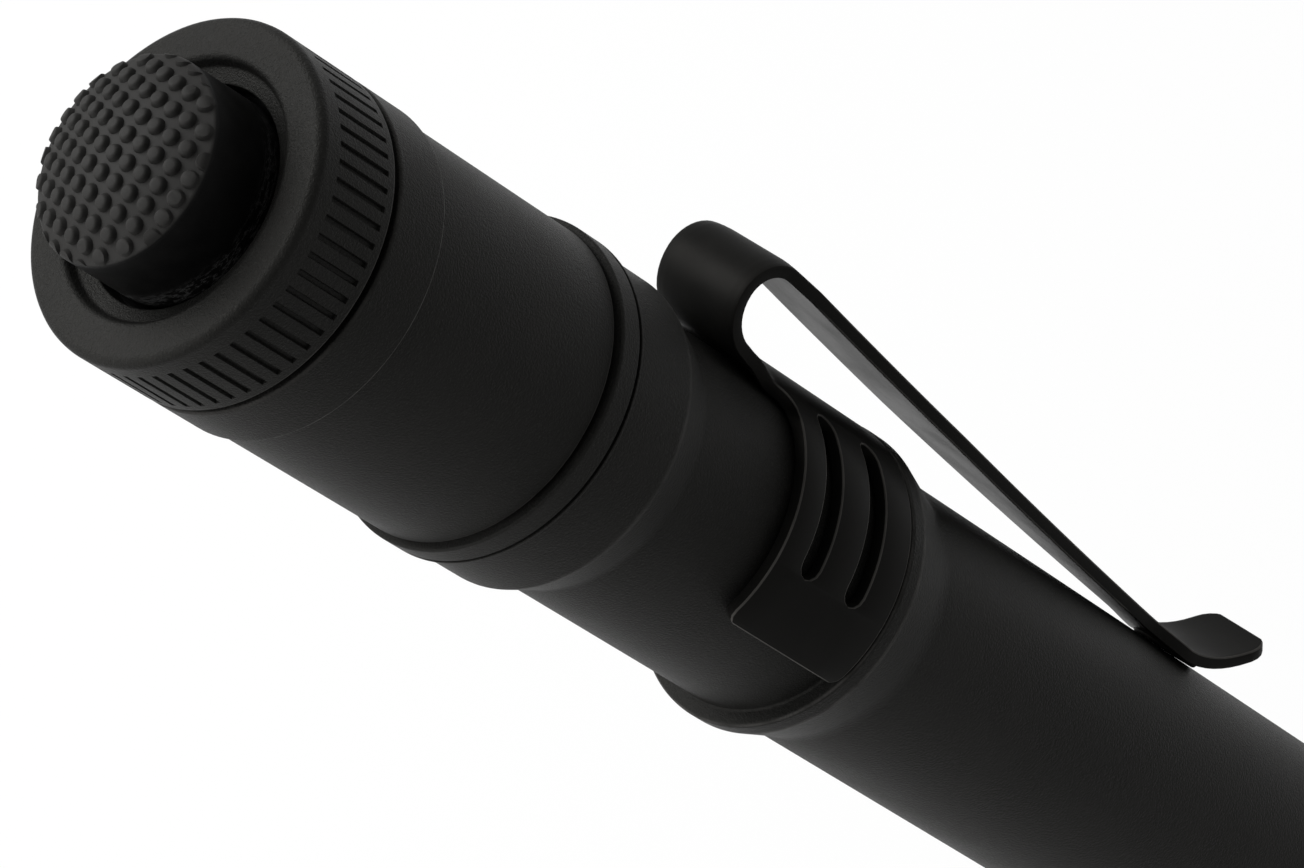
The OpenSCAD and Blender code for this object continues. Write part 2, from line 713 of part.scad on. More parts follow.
// One cell with its nub towards the head
module cell(z) {
    can_z = z + cell_nub_len;
    top_z = z + cell_len;
    rotate_extrude() polygon(concat(
        [[0, z], [cell_nub_r, z], [cell_nub_r, can_z]],
        arc([cell_r - cell_edge_r, can_z + cell_edge_r], cell_edge_r, -90, 0),
        arc([cell_r - cell_edge_r, top_z - cell_edge_r], cell_edge_r, 0, 90),
        [[0, top_z]]));
}

module rear_cell() {
    color("goldenrod") cell(rear_cell_z);
}

module front_cell() {
    color("goldenrod") cell(front_cell_z);
}

// Positive contact stud on the driver board
module head_contact() {
    color("gold") translate([0, 0, stud_z]) {
        cylinder(r = stud_foot_r, h = stud_foot_t);
        cylinder(r = stud_r, h = stud_len);
    }
}

// Driver board in the back of the heat sink
module driver_board() {
    color("darkgreen") translate([0, 0, driver_z]) cylinder(r = driver_r, h = driver_t);
}

// Heat sink: a thick front plate and a cup for the driver
module heat_sink() {
    color("silver") translate([0, 0, sink_z]) difference() {
        cylinder(r = sink_r, h = sink_len);
        translate([0, 0, sink_plate_t]) cylinder(r = sink_r - sink_wall, h = sink_len);
    }
}

// Lamp board on the heat sink's plate
module led_board() {
    color("white") translate([0, 0, led_board_z]) cylinder(r = led_board_r, h = led_board_t);
}

// Lamp: square base and dome, facing the lens
module led_emitter() {
    base_z = led_board_z - led_base_t;
    color("khaki") {
        translate([-led_side / 2, -led_side / 2, base_z]) cube([led_side, led_side, led_base_t]);
        intersection() {
            translate([0, 0, base_z]) sphere(r = led_dome_r);
            translate([-led_side / 2, -led_side / 2, base_z - led_dome_r - over])
                cube([led_side, led_side, led_dome_r + over + led_base_t / 2]);
        }
    }
}

// Reflector bowl, wide at the lens and open at the back for the lamp
module reflector() {
    mouth_r = lens_r - reflector_wall;
    bowl = [for (i = [0:bowl_steps]) let (t = i / bowl_steps)
        [sqrt(pow(mouth_r, 2) + (pow(reflector_hole_r, 2) - pow(mouth_r, 2)) * t), reflector_z + reflector_len * t]];
    shell = [for (i = [bowl_steps:-1:0]) bowl[i] + [reflector_wall, 0]];
    color("gainsboro") rotate_extrude() polygon(concat(bowl, shell));
}

// Flat window in front of the reflector
module lens_window() {
    color("lightcyan", 0.5) translate([0, 0, lens_z]) cylinder(r = lens_r, h = lens_t);
}

// Gasket between the window and the bezel's lip
module lens_gasket() {
    color("#101010") translate([0, 0, gasket_z]) ring(lens_r, bezel_hole_r, gasket_t);
}

// Head shell: thread for the bezel in front, heat sink inside, thread for the tube at the back
module head_shell() {
    sink_top_z = sink_z + sink_len;
    outline = [
        [bezel_thread_r + thread_gap, bezel_len], [head_r, bezel_len],
        [head_r, head_top_z - head_slope_len], [tube_r, head_top_z],
        [head_spigot_r + thread_gap, head_top_z], [head_spigot_r + thread_gap, sink_top_z],
        [head_bore_r, sink_top_z], [head_bore_r, bezel_top_z + fit_gap],
        [bezel_thread_r + thread_gap, bezel_top_z + fit_gap]];
    color("#262626") rotate_extrude() polygon(outline);
}

// Bezel that holds the window
module bezel_ring() {
    outline = [
        [bezel_hole_r, 0], [head_r - bezel_bevel, 0], [head_r, bezel_bevel], [head_r, bezel_len - fit_gap],
        [bezel_thread_r, bezel_len - fit_gap], [bezel_thread_r, bezel_top_z], [lens_seat_r, bezel_top_z],
        [lens_seat_r, bezel_lip_t], [bezel_hole_r, bezel_lip_t]];
    color("#2a2a2a") rotate_extrude() polygon(outline);
}

// O-ring between tube and head
module head_seal() {
    color("#101010") translate([0, 0, tube_low_z - head_seal_offset])
        cord_ring(head_spigot_r - head_seal_r + thread_gap / 2, head_seal_r);
}

switch_button();
tail_ring();
tail_cap();
switch_plunger();
switch_spring();
switch_body();
switch_contact();
switch_board();
retaining_ring();
battery_spring();
cap_seal();
joint_ring();
body_tube();
clip_band();
clip_arm();
rear_cell();
front_cell();
head_contact();
driver_board();
heat_sink();
led_board();
led_emitter();
reflector();
lens_window();
lens_gasket();
head_shell();
bezel_ring();
head_seal();
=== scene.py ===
import math

import bpy
from mathutils import Matrix, Vector


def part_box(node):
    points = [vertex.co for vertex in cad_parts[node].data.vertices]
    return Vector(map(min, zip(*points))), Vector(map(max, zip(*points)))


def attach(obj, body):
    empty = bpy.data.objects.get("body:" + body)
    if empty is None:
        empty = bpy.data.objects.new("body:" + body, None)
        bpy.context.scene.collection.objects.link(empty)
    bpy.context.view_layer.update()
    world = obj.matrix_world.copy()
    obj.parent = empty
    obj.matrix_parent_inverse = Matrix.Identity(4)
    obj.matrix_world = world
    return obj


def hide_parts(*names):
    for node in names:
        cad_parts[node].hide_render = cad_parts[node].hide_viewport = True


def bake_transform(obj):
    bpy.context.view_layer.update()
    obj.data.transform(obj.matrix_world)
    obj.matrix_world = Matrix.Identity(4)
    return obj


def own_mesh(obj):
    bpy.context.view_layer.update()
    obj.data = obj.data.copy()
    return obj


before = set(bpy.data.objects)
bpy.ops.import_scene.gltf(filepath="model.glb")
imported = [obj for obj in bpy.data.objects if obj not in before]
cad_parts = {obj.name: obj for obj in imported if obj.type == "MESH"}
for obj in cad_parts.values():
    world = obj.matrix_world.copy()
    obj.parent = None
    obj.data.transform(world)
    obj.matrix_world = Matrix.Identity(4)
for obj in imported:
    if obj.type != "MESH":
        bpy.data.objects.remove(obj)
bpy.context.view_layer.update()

MM = 0.001

# Points nearer than this, in millimetres, count as one
NEAR = 0.003

# Radii of the light, in millimetres
TUBE_R = 7.0
NECK_R = 7.08
SLEEVE_R = 7.93
RING_R = 8.18
JOINT_R = 8.23
HEAD_R = 7.7
CELL_BORE_R = 5.45
THREAD_ROOT_R = 6.2

# Heights along the light, in millimetres up from the bezel's face
WINDOW_TOP_Z = 3.3
FLANGE_LOW_Z = 92.45
FLANGE_TOP_Z = 93.45
NECK_TOP_Z = 108.95
FRONT_LOW_Z = 111.15
FRONT_TOP_Z = 115.0
JOINT_TOP_Z = 116.65
CAP_LOW_Z = 116.85
COLLAR_LOW_Z = 129.45
COLLAR_TOP_Z = 132.5
RING_LOW_Z = 132.85
SEAT_Z = 136.0
FACE_Z = 137.85
RIM_Z = 140.9

# Button, in millimetres
BUTTON_R = 4.95
DOME_R = 11.228
DOME_MIDDLE_Z = 130.822

# Clip's sheet and band, in millimetres
CLIP_T = 0.65
CLIP_HALF_W = 3.0
BAND_R = 7.25
BAND_HALF_TURN = math.radians(113)
BAND_REACH = BAND_HALF_TURN * BAND_R
BAND_LOW_Z = 93.55
BAND_TOP_Z = 102.15
BAND_CORNER = 0.6
SLOT_START = 3.04
SLOT_END = 11.01
SLOT_HALF = 0.65
SLOT_ZS = (96.3, 99.8)
ROOT_HALF_W = 4.2

# Clip's loop, arm and flicked tip, in millimetres
LOOP_X = 10.0
LOOP_LOW_Z = 105.6
LOOP_CREST_Z = LOOP_LOW_Z + LOOP_X - BAND_R
LOOP_TOP_R = 2.2
LOOP_TOP_Z = LOOP_CREST_Z - LOOP_TOP_R
LOOP_OVER = math.radians(8)
HINGE_X = LOOP_X + LOOP_TOP_R * math.cos(LOOP_OVER)
HINGE_Z = LOOP_TOP_Z - LOOP_TOP_R * math.sin(LOOP_OVER)
TAPER_TOP_Z = 90.1
TAPER_LOW_Z = 70.1
TAPER_IN = 1.35
ARM_LOW_X = 7.09
ARM_LOW_Z = 66.95
ARM_BOW = 0.29
TIP_LEN = 5.1
TIP_RISE = 2.55
TIP_FLARE = 0.65
TIP_CORNER = 0.9


# Modelling by hand

def nothing_selected():
    """Leave edit mode and deselect everything."""
    if bpy.context.object and bpy.context.object.mode == "EDIT":
        bpy.ops.object.mode_set(mode="OBJECT")
    bpy.ops.object.select_all(action="DESELECT")


def only(piece):
    """Leave one object selected and active, in object mode."""
    nothing_selected()
    piece.select_set(True)
    bpy.context.view_layer.objects.active = piece


def pick(piece, kind, test):
    """Go into edit mode with only those points, edges or faces selected that pass a test."""
    only(piece)
    mesh = piece.data
    groups = {"VERT": mesh.vertices, "EDGE": mesh.edges, "FACE": mesh.polygons}
    for group in groups.values():
        group.foreach_set("select", [False] * len(group))
    for item in groups[kind]:
        item.select = test(item)
    bpy.context.tool_settings.mesh_select_mode = [kind == k for k in groups]
    bpy.ops.object.mode_set(mode="EDIT")


def every(item):
    """Test that any point, edge or face passes."""
    return True


def both_ends(piece, test):
    """Test for edges: both ends, in millimetres, pass a test."""
    return lambda edge: all(test(piece.data.vertices[v].co / MM) for v in edge.vertices)


def done():
    """Leave edit mode."""
    bpy.ops.object.mode_set(mode="OBJECT")


def pull(piece, test, shift, scale=None, centre=(0, 0, 0)):
    """Extrude the edges whose ends pass a test, and stretch what comes out. Left in edit mode."""
    pick(piece, "EDGE", both_ends(piece, test))
    bpy.ops.mesh.extrude_edges_move(TRANSFORM_OT_translate={"value": [part * MM for part in shift]})
    if scale:
        bpy.ops.transform.resize(value=scale, center_override=[part * MM for part in centre])


def roll(piece, test, steps, angle, centre):
    """Spin the edges whose ends pass a test about a line across the light, away from its axis."""
    pick(piece, "EDGE", both_ends(piece, test))
    bpy.ops.mesh.spin(steps=steps, angle=-angle, center=[part * MM for part in centre], axis=(0, 1, 0))
    done()


def chain(name, points):
    """Line of points, drawn by extruding one point after another. Left in edit mode."""
    nothing_selected()
    bpy.ops.mesh.primitive_plane_add(size=MM, location=(0, 0, 0))
    piece = bpy.context.object
    piece.name = name
    bpy.context.tool_settings.mesh_select_mode = (True, False, False)
    bpy.ops.object.mode_set(mode="EDIT")
    bpy.ops.mesh.select_all(action="SELECT")
    bpy.ops.mesh.merge(type="CENTER")
    pen = Vector((0, 0, 0))
    for i, point in enumerate(points):
        step = Vector(point) * MM - pen
        if i == 0:
            bpy.ops.transform.translate(value=step)
        else:
            bpy.ops.mesh.extrude_vertices_move(TRANSFORM_OT_translate={"value": step})
        pen += step
    return piece


def rounded(corners):
    """Outline through corners (radius, height, rounding).

    A close point on each side of a rounding keeps the flats beside it flat.
    """
    beside = 0.02
    arc_step = math.radians(18)
    points = []
    for i, (r, z, size) in enumerate(corners):
        corner = Vector((r, z))
        if size == 0:
            points.append(corner)
            continue
        before = (Vector(corners[i - 1][:2]) - corner).normalized()
        after = (Vector(corners[(i + 1) % len(corners)][:2]) - corner).normalized()
        half = before.angle(after) / 2
        run = size / math.tan(half)
        middle = corner + (before + after).normalized() * size / math.sin(half)
        first = corner + before * run - middle
        last = corner + after * run - middle
        turn = math.atan2(first.x * last.y - first.y * last.x, first.dot(last))
        steps = max(2, math.ceil(abs(turn) / arc_step))
        points.append(corner + before * (run + beside))
        points += [middle + Matrix.Rotation(turn * k / steps, 2) @ first for k in range(steps + 1)]
        points.append(corner + after * (run + beside))
    return points


def turned(name, outline, steps=144, closed=True):
    """Piece turned on a lathe: an outline of (radius, height) points spun about the light's axis."""
    points = list(outline) + ([outline[0]] if closed else [])
    piece = chain(name, [(r, 0, z) for r, z in points])
    bpy.ops.mesh.select_all(action="SELECT")
    bpy.ops.mesh.spin(steps=steps, angle=2 * math.pi, center=(0, 0, 0), axis=(0, 0, 1))
    bpy.ops.mesh.select_all(action="SELECT")
    bpy.ops.mesh.remove_doubles(threshold=NEAR * MM)
    bpy.ops.mesh.normals_make_consistent(inside=False)
    done()
    return piece


def wound(name, section, pitch, turns, steps):
    """Piece wound up the light's axis: a closed section of (radius, height) points, with capped ends."""
    piece = chain(name, [(r, 0, z) for r, z in section])
    bpy.ops.mesh.select_all(action="SELECT")
    bpy.ops.mesh.edge_face_add()
    bpy.ops.mesh.delete(type="ONLY_FACE")
    done()
    use_modifier(
        piece, "SCREW", axis="Z", angle=2 * math.pi, screw_offset=pitch * MM, iterations=turns,
        steps=steps, render_steps=steps, use_merge_vertices=False)
    pick(piece, "VERT", every)
    bpy.ops.mesh.fill_holes(sides=12)
    bpy.ops.mesh.select_all(action="SELECT")
    bpy.ops.mesh.normals_make_consistent(inside=False)
    done()
    return piece


def use_modifier(piece, kind, **settings):
    """Put a modifier on a piece and apply it."""
    only(piece)
    modifier = piece.modifiers.new(kind, kind)
    for key, value in settings.items():
        setattr(modifier, key, value)
    bpy.ops.object.modifier_apply(modifier=modifier.name)


def smooth(piece, degrees=32):
    """Shade a piece smooth, but for its edges sharper than an angle."""
    only(piece)
    bpy.ops.object.shade_smooth_by_angle(angle=math.radians(degrees))
    return piece


def drop_slivers(piece):
    """Take out the needle-thin faces that joining two meshes leaves."""
    thin = 0.001 * MM
    pick(piece, "VERT", every)
    bpy.ops.mesh.remove_doubles(threshold=thin)
    bpy.ops.mesh.dissolve_degenerate(threshold=thin)
    done()


def place(piece):
    """Put an object's place, turn and size into its mesh."""
    only(piece)
    bpy.ops.object.transform_apply(location=True, rotation=True, scale=True)


def ease(t):
    """Smooth step from 0 to 1."""
    return 3 * t ** 2 - 2 * t ** 3


def share(value, start, end):
    """How far a value has come from a start to an end, from 0 to 1."""
    return min(1, max(0, (value - start) / (end - start)))


# Tail

def make_tail_ring():
    """Slotted ring: lathe work, then sixty slots let into its side."""
    bore_r, mouth_r, lip_r, hole_r = 7.08, 6.2, 5.98, 5.25
    lip_z, hole_top_z = 137.32, 137.1
    slot_low_z, slot_top_z = 133.35, 136.6
    slot_wall, slot_depth = 0.05, 0.16
    columns, columns_per_slot = 360, 6
    ring = turned("tail_ring_turned", rounded([
        (bore_r, RING_LOW_Z, 0), (RING_R, RING_LOW_Z, 0.12),
        (RING_R, slot_low_z, 0), (RING_R, slot_top_z, 0),
        (RING_R, FACE_Z, 0.45), (mouth_r, FACE_Z, 0.3), (lip_r, lip_z, 0.16),
        (hole_r, hole_top_z, 0.1), (hole_r, SEAT_Z, 0), (bore_r, SEAT_Z, 0)]), steps=columns)

    def in_slot(face):
        x, y, z = face.center / MM
        column = math.floor(math.degrees(math.atan2(y, x))) % columns_per_slot
        outside = math.hypot(x, y) > (bore_r + RING_R) / 2
        return outside and slot_low_z < z < slot_top_z and column in (0, columns_per_slot - 1)

    pick(ring, "FACE", in_slot)
    bpy.ops.mesh.inset(thickness=slot_wall * MM, depth=-slot_depth * MM, use_boundary=True)
    done()
    return smooth(ring)


def make_bump():
    """One bump of the button, standing on the origin: a low cone with a rounded top."""
    foot_r, height, sunk = 0.47, 0.4, 0.13
    top_share, top_round = 0.66, 0.11
    nothing_selected()
    bpy.ops.mesh.primitive_cylinder_add(
        vertices=18, radius=foot_r * MM, depth=height * MM, location=(0, 0, (height / 2 - sunk) * MM))
    bump = bpy.context.object
    place(bump)
    pick(bump, "FACE", lambda face: face.normal.z > 0.9)
    bpy.ops.transform.resize(value=(top_share, top_share, 1))
    done()
    pick(bump, "EDGE", both_ends(bump, lambda end: end.z > 0))
    bpy.ops.mesh.bevel(offset=top_round * MM, segments=3, affect="EDGES")
    done()
    return bump


def make_bumps():
    """Bumps on a square grid over the button's dome, each standing square to it, in one mesh."""
    pitch = 0.97
    past_rim = 0.2
    grid_turn = Matrix.Rotation(math.radians(-2.7), 2)
    to_middle = Matrix.Translation((0, 0, DOME_MIDDLE_Z * MM))
    to_dome = Matrix.Translation((0, 0, DOME_R * MM))
    bump = make_bump()
    grid = []
    for row in range(-6, 6):
        for column in range(-6, 7):
            x, y = grid_turn @ Vector((column * pitch, (row + 0.5) * pitch))
            out = math.hypot(x, y)
            if out > BUTTON_R + past_rim:
                continue
            copy = bump.copy()
            copy.data = bump.data.copy()
            bpy.context.collection.objects.link(copy)
            bearing = Matrix.Rotation(math.atan2(y, x), 4, "Z")
            lean = Matrix.Rotation(math.asin(out / DOME_R), 4, "Y")
            copy.matrix_world = to_middle @ (bearing @ lean) @ to_dome
            grid.append(copy)
    bpy.data.objects.remove(bump)
    only(grid[0])
    for copy in grid:
        copy.select_set(True)
    bpy.ops.object.join()
    bumps = bpy.context.object
    place(bumps)
    return bumps


def make_button():
    """Rubber button: a domed cap with a grid of bumps, cut off at its rim."""
    flange_r, flange_top_z, low_z = 6.1, 135.9, 135.0
    hollow_r, hollow_top_z, peg_r = 3.4, 139.3, 1.6
    columns, dome_steps = 120, 12
    reach = math.asin(BUTTON_R / DOME_R)
    dome = []
    for i in range(dome_steps):
        a = reach * i / dome_steps
        dome.append((DOME_R * math.sin(a), DOME_MIDDLE_Z + DOME_R * math.cos(a)))
    side = rounded([
        dome[-1] + (0,), (BUTTON_R, RIM_Z, 0.22), (BUTTON_R, flange_top_z, 0.3),
        (flange_r, flange_top_z, 0.1), (flange_r, low_z, 0.1),
        (hollow_r, low_z, 0), (hollow_r, hollow_top_z, 0.2),
        (peg_r, hollow_top_z, 0.2), (peg_r, low_z, 0), (0, low_z, 0)])
    button = turned("button_rubber", dome + side[1:], steps=columns, closed=False)

    trim_r, trim_low_z, trim_rim_z, trim_top_z = BUTTON_R - 0.02, 138, 141.1, 144
    bumps = make_bumps()
    trim = turned("trim", rounded([
        (0, trim_low_z, 0), (trim_r, trim_low_z, 0), (trim_r, trim_rim_z, 0.4), (0, trim_top_z, 0)]),
        steps=columns, closed=False)
    use_modifier(bumps, "BOOLEAN", operation="INTERSECT", object=trim, solver="MANIFOLD")
    bpy.data.objects.remove(trim)
    use_modifier(button, "BOOLEAN", operation="UNION", object=bumps, solver="MANIFOLD")
    bpy.data.objects.remove(bumps)
    drop_slivers(button)
    return smooth(button, 42)


def make_cap():
    """Tail cap: collar and sleeve outside, button chamber, web, switch bore and thread bore inside."""
    rim_r, chamber_r, plunger_hole_r = 7.0, 6.2, 1.7
    web_top_z, web_low_z = 133.7, 132.9
    switch_bore_r, thread_bore_r, thread_top_z = 5.7, 6.7, 125.6
    cap = turned("cap_turned", rounded([
        (thread_bore_r, CAP_LOW_Z, 0.05), (SLEEVE_R, CAP_LOW_Z, 0.16),
        (SLEEVE_R, COLLAR_LOW_Z, 0.04), (RING_R, COLLAR_LOW_Z, 0.07), (RING_R, COLLAR_TOP_Z, 0.16),
        (rim_r, COLLAR_TOP_Z, 0), (rim_r, SEAT_Z, 0.05), (chamber_r, SEAT_Z, 0),
        (chamber_r, web_top_z, 0), (plunger_hole_r, web_top_z, 0), (plunger_hole_r, web_low_z, 0),
        (switch_bore_r, web_low_z, 0), (switch_bore_r, thread_top_z, 0), (thread_bore_r, thread_top_z, 0)]))
    return smooth(cap)


def make_return_spring():
    """Return spring of the switch, wound from wire in the place that the frame gives it."""
    (_, _, low), (reach, _, high) = [Vector(corner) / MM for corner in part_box("switch_spring")]
    wire_r, turns = 0.13, 2
    wire = [Matrix.Rotation(math.radians(45 * k), 2) @ Vector((wire_r, 0)) for k in range(8)]
    section = [(reach - wire_r + p.x, low + wire_r + p.y) for p in wire]
    spring = wound("return_spring", section, (high - low - 2 * wire_r) / turns, turns, steps=32)
    return smooth(spring, 60)


# Body

def make_joint_ring():
    """Narrow ring at the seam, with a fine line turned into it near its front edge."""
    bore_r, low_z = 6.93, 115.1
    line_r, line_low_z, line_top_z = 7.85, 115.26, 115.42
    ring = turned("joint_ring_turned", rounded([
        (bore_r, low_z, 0), (JOINT_R, low_z, 0.06),
        (JOINT_R, line_low_z, 0.03), (line_r, line_low_z, 0),
        (line_r, line_top_z, 0), (JOINT_R, line_top_z, 0.05),
        (JOINT_R, JOINT_TOP_Z, 0.14), (bore_r, JOINT_TOP_Z, 0)]))
    return smooth(ring)


def make_body():
    """Body in one turned piece: head spigot, tube, flange, clip neck, front section and tail spigot."""
    head_end_z, head_spigot_r, shoulder_z = 24.1, 6.3, 31.1
    head_groove_r, head_groove_low_z, head_groove_top_z = 5.69, 29.14, 29.86
    flare_z = 89.45
    joint_seat_r, tail_spigot_r = 6.88, 6.62
    cap_groove_r, cap_groove_low_z, cap_groove_top_z = 5.78, 117.76, 118.74
    spigot_top_z, thread_low_z, tail_end_z = 119.5, 119.9, 125.4
    body = turned("body_turned", rounded([
        (CELL_BORE_R, head_end_z, 0), (head_spigot_r, head_end_z, 0.1),
        (head_spigot_r, head_groove_low_z, 0), (head_groove_r, head_groove_low_z, 0),
        (head_groove_r, head_groove_top_z, 0), (head_spigot_r, head_groove_top_z, 0),
        (head_spigot_r, shoulder_z, 0), (TUBE_R, shoulder_z, 0.15),
        (TUBE_R, flare_z, 3), (SLEEVE_R, FLANGE_LOW_Z, 0.18), (SLEEVE_R, FLANGE_TOP_Z, 0.2),
        (NECK_R, FLANGE_TOP_Z, 0.15), (NECK_R, NECK_TOP_Z, 1.2),
        (SLEEVE_R, FRONT_LOW_Z, 0.4), (SLEEVE_R, FRONT_TOP_Z, 0.12),
        (joint_seat_r, FRONT_TOP_Z, 0), (joint_seat_r, JOINT_TOP_Z, 0), (tail_spigot_r, JOINT_TOP_Z, 0),
        (tail_spigot_r, cap_groove_low_z, 0.05), (cap_groove_r, cap_groove_low_z, 0),
        (cap_groove_r, cap_groove_top_z, 0), (tail_spigot_r, cap_groove_top_z, 0.05),
        (tail_spigot_r, spigot_top_z, 0.1), (THREAD_ROOT_R, thread_low_z, 0),
        (THREAD_ROOT_R, tail_end_z, 0.15), (CELL_BORE_R, tail_end_z, 0.1)]))
    return smooth(body)


def make_thread():
    """Thread on the tail spigot, which shows when the cap is unscrewed: a ridge wound up the spigot."""
    sunk_r, crest_r = 6.05, 6.56
    low_z, crest_low_z, crest_top_z, top_z = 119.7, 120.02, 120.12, 120.44
    ridge = [
        (sunk_r, low_z), (THREAD_ROOT_R, low_z), (crest_r, crest_low_z),
        (crest_r, crest_top_z), (THREAD_ROOT_R, top_z), (sunk_r, top_z)]
    return smooth(wound("cap_thread", ridge, pitch=1.0, turns=4, steps=72), 30)


# Clip

def clip_columns():
    """Places across half of the flat clip blank, and the roundings of its slots and corners."""
    turns = [math.radians(30 * k) for k in range(4)]
    starts = [SLOT_START + SLOT_HALF * (1 - math.cos(a)) for a in turns]
    ends = [SLOT_END - SLOT_HALF * (1 - math.cos(a)) for a in turns]
    corners = [BAND_REACH - BAND_CORNER + BAND_CORNER * math.sin(a) for a in turns]
    inner = [CLIP_HALF_W * k / 7 for k in range(7)]
    middle = [starts[-1] + (ends[-1] - starts[-1]) * k / 15 for k in range(1, 15)]
    outer = [SLOT_END + (corners[0] - SLOT_END) * k / 6 for k in range(1, 6)]
    return turns, starts, ends, corners, inner + starts + middle + ends[::-1] + outer + corners


def cut_blank():
    """Flat band of the clip with its slots cut and its corners rounded, and the columns of half of it."""
    turns, starts, ends, corners, half_columns = clip_columns()
    columns = sorted({round(side * u, 5) for u in half_columns for side in (-1, 1)})
    rows = [BAND_LOW_Z] + [z + way * SLOT_HALF for z in SLOT_ZS for way in (-1, 1)] + [BAND_TOP_Z]
    clip = chain("clip_bent", [(u, 0, BAND_LOW_Z) for u in columns])
    for low, high in zip(rows, rows[1:]):
        pull(clip, lambda end: abs(end.z - low) < NEAR, (0, 0, high - low))
    done()

    def in_slot(face):
        u, _, z = face.center / MM
        return starts[0] < abs(u) < ends[0] and any(abs(z - middle) < SLOT_HALF for middle in SLOT_ZS)

    pick(clip, "FACE", in_slot)
    bpy.ops.mesh.delete(type="FACE")
    done()

    for middle in SLOT_ZS:
        for a, start, end in zip(turns, starts, ends):
            def at_slot_end(vert):
                u, _, z = vert.co / MM
                near_end = min(abs(abs(u) - start), abs(abs(u) - end)) < NEAR
                return near_end and abs(z - middle) < SLOT_HALF + NEAR

            pick(clip, "VERT", at_slot_end)
            bpy.ops.transform.resize(value=(1, 1, math.sin(a)), center_override=(0, 0, middle * MM))

    for a, corner in zip(turns, corners):
        drop = BAND_CORNER * (1 - math.cos(a))
        for edge_z, way in ((BAND_TOP_Z, -1), (BAND_LOW_Z, 1)):
            def at_corner(vert):
                u, _, z = vert.co / MM
                return abs(abs(u) - corner) < NEAR and abs(z - edge_z) < NEAR

            pick(clip, "VERT", at_corner)
            bpy.ops.transform.translate(value=(0, 0, way * drop * MM))
    pick(clip, "VERT", every)
    bpy.ops.mesh.remove_doubles(threshold=NEAR * MM)
    done()
    return clip, half_columns


def raise_root(clip, half_columns):
    """Root strip, wide at the band and narrowing in a round to the strip's own width. Returns its top."""
    root = min(half_columns, key=lambda u: abs(u - ROOT_HALF_W))
    fillet = root - CLIP_HALF_W
    width, height = root, BAND_TOP_Z
    for k in range(1, 6):
        a = math.radians(18 * k)
        next_width = root - fillet * math.sin(a)
        next_height = BAND_TOP_Z + fillet * (1 - math.cos(a))
        pull(clip, lambda end: abs(end.z - height) < NEAR and abs(end.x) < width + NEAR,
             (0, 0, next_height - height), (next_width / width, 1, 1))
        width, height = next_width, next_height
    done()
    return height


def bend_band(clip):
    """Bend the flat blank round the neck, with its strip on the +X side."""
    use_modifier(clip, "SIMPLE_DEFORM", deform_method="BEND", deform_axis="Z", angle=2 * BAND_HALF_TURN)
    pick(clip, "VERT", every)
    bpy.ops.transform.translate(value=(0, -BAND_R * MM, 0))
    done()
    clip.data.transform(Matrix.Rotation(math.radians(90), 4, "Z"))


def clip_path():
    """Outer face of the arm and its flicked tip from the hinge down: (x, z, half width) of each row."""
    hinge = Vector((HINGE_X, HINGE_Z))
    start = hinge - Vector((math.cos(LOOP_OVER), -math.sin(LOOP_OVER))) * CLIP_T / 2
    low = Vector((ARM_LOW_X + CLIP_T / 2, ARM_LOW_Z))
    run = low - start
    side = Vector((-run.y, run.x)).normalized()
    line = []
    for t in [k / 20 for k in range(1, 17)] + [0.85 + 0.15 * k / 8 for k in range(8)]:
        line.append(start + run * t - side * 4 * ARM_BOW * t * (1 - t))
    straight = TIP_LEN - TIP_CORNER
    falls = [TIP_LEN * k / 10 for k in range(10) if TIP_LEN * k / 10 < straight]
    falls += [straight + TIP_CORNER * math.sin(math.radians(a)) for a in (0, 20, 40, 60, 80)]
    for fall in falls:
        line.append(low + Vector((TIP_RISE * (fall / TIP_LEN) ** 2, -fall)))
    rows = []
    for i, point in enumerate(line):
        ahead = line[min(i + 1, len(line) - 1)] - line[max(i - 1, 0)]
        face = point + Vector((-ahead.y, ahead.x)).normalized() * CLIP_T / 2
        taper = share(point.y, TAPER_TOP_Z, TAPER_LOW_Z)
        widen = share(point.y, TAPER_LOW_Z, ARM_LOW_Z)
        past = max(0, ARM_LOW_Z - point.y - straight)
        half = CLIP_HALF_W - TAPER_IN * taper + TIP_FLARE * ease(widen)
        half -= TIP_CORNER - math.sqrt(max(0, TIP_CORNER ** 2 - past ** 2))
        rows.append((face.x, face.y, half))
    return rows


def run_strip(clip, root_top):
    """Flatten the strip towards the loop, roll it over and run it down the arm to the tip."""
    flat, height = 1.0, root_top
    for k in range(1, 6):
        next_height = root_top + (LOOP_LOW_Z - root_top) * k / 5
        next_flat = max(1 - ease(k / 5), 1e-4)
        pull(clip, lambda end: abs(end.z - height) < NEAR,
             (0, 0, next_height - height), (next_flat / flat, 1, 1), (BAND_R, 0, 0))
        flat, height = next_flat, next_height
    done()

    quarter = math.pi / 2
    roll(clip, lambda end: abs(end.z - LOOP_LOW_Z) < NEAR, 10, quarter, (LOOP_X, 0, LOOP_LOW_Z))
    roll(clip, lambda end: abs(end.z - LOOP_CREST_Z) < NEAR, 12, quarter + LOOP_OVER, (LOOP_X, 0, LOOP_TOP_Z))

    inside = 0.3
    place_x, height, width = HINGE_X, HINGE_Z, CLIP_HALF_W
    for x, z, half in clip_path():
        pull(clip, lambda end: abs(end.z - height) < NEAR and end.x > place_x - inside,
             (x - place_x, 0, z - height), (1, half / width, 1))
        place_x, height, width = x, z, half
    done()


